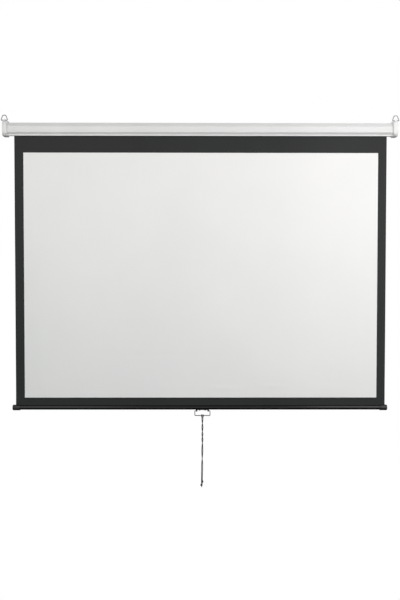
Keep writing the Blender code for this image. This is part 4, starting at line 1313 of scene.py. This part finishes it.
for number, rows in enumerate(sides):
    for i in range(len(down) - 1):
        for k in range(len(across) - 1):
            x = (across[k] + across[k + 1]) / 2
            z = (down[i] + down[i + 1]) / 2
            inside = face_low.x < x < face_high.x and face_low.z < z < face_high.z
            finish_index = BACKING if number else (WHITE if inside else BORDER)
            quad = (rows[i][k], rows[i + 1][k], rows[i + 1][k + 1], rows[i][k + 1])
            lay_face(quad if number == 0 else quad[::-1], finish_index)
front, back = sides
for i in range(len(down) - 1):
    for k, flip in ((0, False), (len(across) - 1, True)):
        rim = (front[i][k], back[i][k], back[i + 1][k], front[i + 1][k])
        lay_face(rim[::-1] if flip else rim, BACKING)
for k in range(len(across) - 1):
    for i, flip in ((0, True), (len(down) - 1, False)):
        rim = (front[i][k], back[i][k], back[i][k + 1], front[i][k + 1])
        lay_face(rim[::-1] if flip else rim, BACKING)
bmesh.ops.recalc_face_normals(shape, faces=shape.faces)
mesh = bpy.data.meshes.new("drawn_fabric")
shape.to_mesh(mesh)
shape.free()
sheet = bpy.data.objects.new("drawn_fabric", mesh)
for finish in (screen_white, border_black, backing_black):
    mesh.materials.append(finish)
seat(sheet, None, "case", "matt_white", "fabric_base", "matt_white_face")
print("sheet:", len(mesh.polygons), "faces")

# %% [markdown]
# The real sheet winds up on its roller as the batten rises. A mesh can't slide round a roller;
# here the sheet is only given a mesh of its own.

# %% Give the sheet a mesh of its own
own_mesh(sheet)

# %% [markdown]
# At the bottom the cloth goes nearly all round the hem rod, inside the batten. At the top two
# turns always stay on the roller. Both are hidden but for their ends, so a strip's outline, an arc
# or a spiral, drawn straight along X is all they need.

# %% Strips of cloth
def ribbon(line, thickness):
    """The outline of a strip whose middle follows the line."""
    return moved_path(line, thickness / 2) + moved_path(line, -thickness / 2)[::-1]


def lay_uv(piece):
    """UV in metres from each point's own place, for a piece that is straight along X."""
    layer = piece.data.uv_layers.new(name="cloth_metres")
    for loop in piece.data.loops:
        point = piece.data.vertices[loop.vertex_index].co
        layer.data[loop.index].uv = (point.x, point.y + point.z)


print("cloth, mm:", round(CLOTH / MM, 1), "thick")

# %% Hem round its rod
HEM_TURN = 320.0

hem_radius = hem_middle.y - cloth_y
hem_line = arc((hem_middle.y, hem_middle.z), hem_radius, 180, 180 + HEM_TURN, 40)
hem = extrude("fabric_hem", ribbon(hem_line, CLOTH), (cloth_low.x, cloth_high.x))
lay_uv(hem)
seat(hem, backing_black, "batten", "black_fabric")
print("hem, mm across:", round(2 * hem_radius / MM, 1))

# %% The turns that stay on the roller
WRAP_TURNS = 2.0
WRAP_STEPS = 48
WRAP_GAP = 0.02 * MM

wrap_low, wrap_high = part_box("fabric_wrap")
wrap_middle = joint_at["roller_turn"]
wrap_outer = (wrap_high.z - wrap_low.z) / 2
spiral = []
for i in range(round(WRAP_TURNS * WRAP_STEPS) + 1):
    a = math.radians(180) - 2 * math.pi * i / WRAP_STEPS
    radius = wrap_outer - CLOTH / 2 - (CLOTH + WRAP_GAP) * i / WRAP_STEPS
    spiral.append((wrap_middle.y + radius * math.cos(a), wrap_middle.z + radius * math.sin(a)))
wound = extrude("wound_fabric", ribbon(spiral, CLOTH), (wrap_low.x, wrap_high.x))
lay_uv(wound)
seat(wound, backing_black, "roller", "black_fabric", "fabric_wrap")

# %% [markdown]
# ## What stays from the CAD model
# The roller, its plugs, the spring, the ratchet and the brackets are hidden in the case, and their
# solids already have the right shape. They only get their finishes: galvanised sheet, natural
# nylon and spring steel.

# %% Finishes for the pieces inside
INSIDE = {
    galvanised: ("left_bracket", "right_bracket", "roller_tube", "idler_pin", "hem_rod", "ratchet_hub"),
    nylon: ("spring_end_plug", "idler_end_plug", "spring_anchor"),
    spring_steel: ("roller_spring", "spring_arbor", "upper_pawl", "lower_pawl"),
}
for finish, names in INSIDE.items():
    for name in names:
        node_mesh = frame["nodes"][name].data
        node_mesh.materials.clear()
        node_mesh.materials.append(finish)
    print(finish.name, "on", names)

# %% [markdown]
# ## The studio
# The photograph is a cut-out on pure white. The floor is a pale disc that lights itself, so that it
# is as white as the backdrop, and neither lights the screen from below nor shows in its gloss.

# %% Floor
FLOOR_Z = -1.95
FLOOR_RADIUS = 2.4
FLOOR_DEPTH = 0.02

floor_edge = [(FLOOR_Z - FLOOR_DEPTH, FLOOR_RADIUS), (FLOOR_Z, FLOOR_RADIUS)]
floor = turn("floor", floor_edge, (0, 0, 0), 96, axis="Z")
bpy.context.scene.collection.objects.link(floor)
floor_white = new_material(
    "white_floor",
    Roughness=0.8,
    Base_Color=linear("#000000"),
    Specular_IOR_Level=0.0,
    Emission_Color=linear("#ffffff"),
    Emission_Strength=1.0,
)[0]
floor.data.materials.append(floor_white)
floor.visible_diffuse = False
floor.visible_glossy = False
floor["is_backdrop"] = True
print("floor under the object, mm:", round((cad_low.z - FLOOR_Z) / MM))

# %% [markdown]
# The room is a glow that is the same from all round, with three soft walls added: a strong one low
# in front, one behind on the left, and a faint one behind and above. Each wall is brightest in one
# direction and fades with the angle from it. Large lamps could do the same, but the glossy batten
# would mirror their edges. The glow fades to black below, which keeps the batten's underside dark.
# The camera itself sees plain white behind the object.

# %% World
AMBIENT = 0.23
WALLS = (
    ((0.0, -0.7, -0.7), 1.03),
    ((-0.8, 0.6, 0.0), 0.52),
    ((0.0, 0.5, 0.87), 0.14),
)
DARK_BELOW = 1.6

world = bpy.data.worlds.new("white_studio")
bpy.context.scene.world = world
world.use_nodes = True
sky = world.node_tree
facing = add_node(sky, "ShaderNodeTexCoord", {}).outputs["Generated"]
glow = AMBIENT
for direction, strength in WALLS:
    towards = add_node(sky, "ShaderNodeVectorMath", {0: facing, 1: direction}, operation="DOT_PRODUCT")
    lit = add_node(sky, "ShaderNodeMath", {0: towards.outputs["Value"], 1: 0.0}, operation="MAXIMUM")
    inputs = {0: lit.outputs[0], 1: strength, 2: glow}
    glow = add_node(sky, "ShaderNodeMath", inputs, operation="MULTIPLY_ADD").outputs[0]
height = add_node(sky, "ShaderNodeSeparateXYZ", {0: facing}).outputs["Z"]
inputs = {0: height, 1: DARK_BELOW, 2: 1.0}
above = add_node(sky, "ShaderNodeMath", inputs, operation="MULTIPLY_ADD", use_clamp=True)
glow = add_node(sky, "ShaderNodeMath", {0: glow, 1: above.outputs[0]}, operation="MULTIPLY").outputs[0]
lighting = add_node(sky, "ShaderNodeBackground", {"Color": (1, 1, 1, 1), "Strength": glow})
seen = add_node(sky, "ShaderNodeBackground", {"Color": (1, 1, 1, 1), "Strength": 1.0})
by_camera = add_node(sky, "ShaderNodeLightPath", {}).outputs["Is Camera Ray"]
chosen = add_node(sky, "ShaderNodeMixShader", {0: by_camera, 1: lighting.outputs[0], 2: seen.outputs[0]})
sky.links.new(chosen.outputs[0], sky.nodes["World Output"].inputs["Surface"])
print("walls:", len(WALLS), "and an even glow of", AMBIENT)

# %% [markdown]
# The panels stand nearer, so they make the light uneven over the screen. The four on the right
# together outshine the two on the left, which is why the fabric grows lighter to the right and
# nearly white in its upper corner. The left panel is a trace warm and the one low on the left is
# cool, as the cloth's tones are there in the photograph.

# %% Panels of soft light
PANELS = {
    "right_panel": ((1.03, -1.29, -0.25), (0.2, 0, -0.5), (0.9, 1.0), 8.8, "#ffffff"),
    "left_panel": ((-0.78, -1.05, -0.11), (0.2, 0, -0.5), (0.9, 1.3), 4.65, "#fffdf8"),
    "far_right_panel": ((3.2, -0.8, 0.4), (0.2, 0, -0.4), (1.4, 1.8), 18.0, "#ffffff"),
    "top_right_panel": ((1.1, -0.7, 0.8), (0.6, 0, -0.3), (1.0, 0.7), 3.2, "#ffffff"),
    "low_right_panel": ((1.3, -1.2, -1.3), (0.5, 0, -0.2), (0.9, 0.9), 1.5, "#ffffff"),
    "low_left_panel": ((-0.9, -1.2, -1.3), (-0.4, 0, -0.2), (0.9, 0.9), 1.0, "#d2fffc"),
}


def soft_panel(name, place, target, size, power, colour):
    """A rectangle of light that looks at its target. The camera doesn't see it."""
    data = bpy.data.lights.new(name, "AREA")
    data.shape = "RECTANGLE"
    data.size, data.size_y = size
    data.energy = power
    data.color = linear(colour)[:3]
    lamp = bpy.data.objects.new(name, data)
    bpy.context.scene.collection.objects.link(lamp)
    lamp.location = place
    lamp.rotation_euler = (Vector(target) - Vector(place)).to_track_quat("-Z", "Y").to_euler()
    lamp.visible_camera = False


for name, values in PANELS.items():
    soft_panel(name, *values)
view_settings = bpy.context.scene.view_settings
view_settings.view_transform = "Standard"
view_settings.look = "None"
print("panels:", len(PANELS), "with", round(sum(values[3] for values in PANELS.values()), 1), "W")

# %% [markdown]
# ## Sizes, and the end
# How far the visual model reaches past the solids' box is printed for each side.

# %% Sizes, and the end
low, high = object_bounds()
past = (*(cad_low - low), *(high - cad_high))
print("past the solids' box, mm:", [round(side / MM, 2) for side in past])
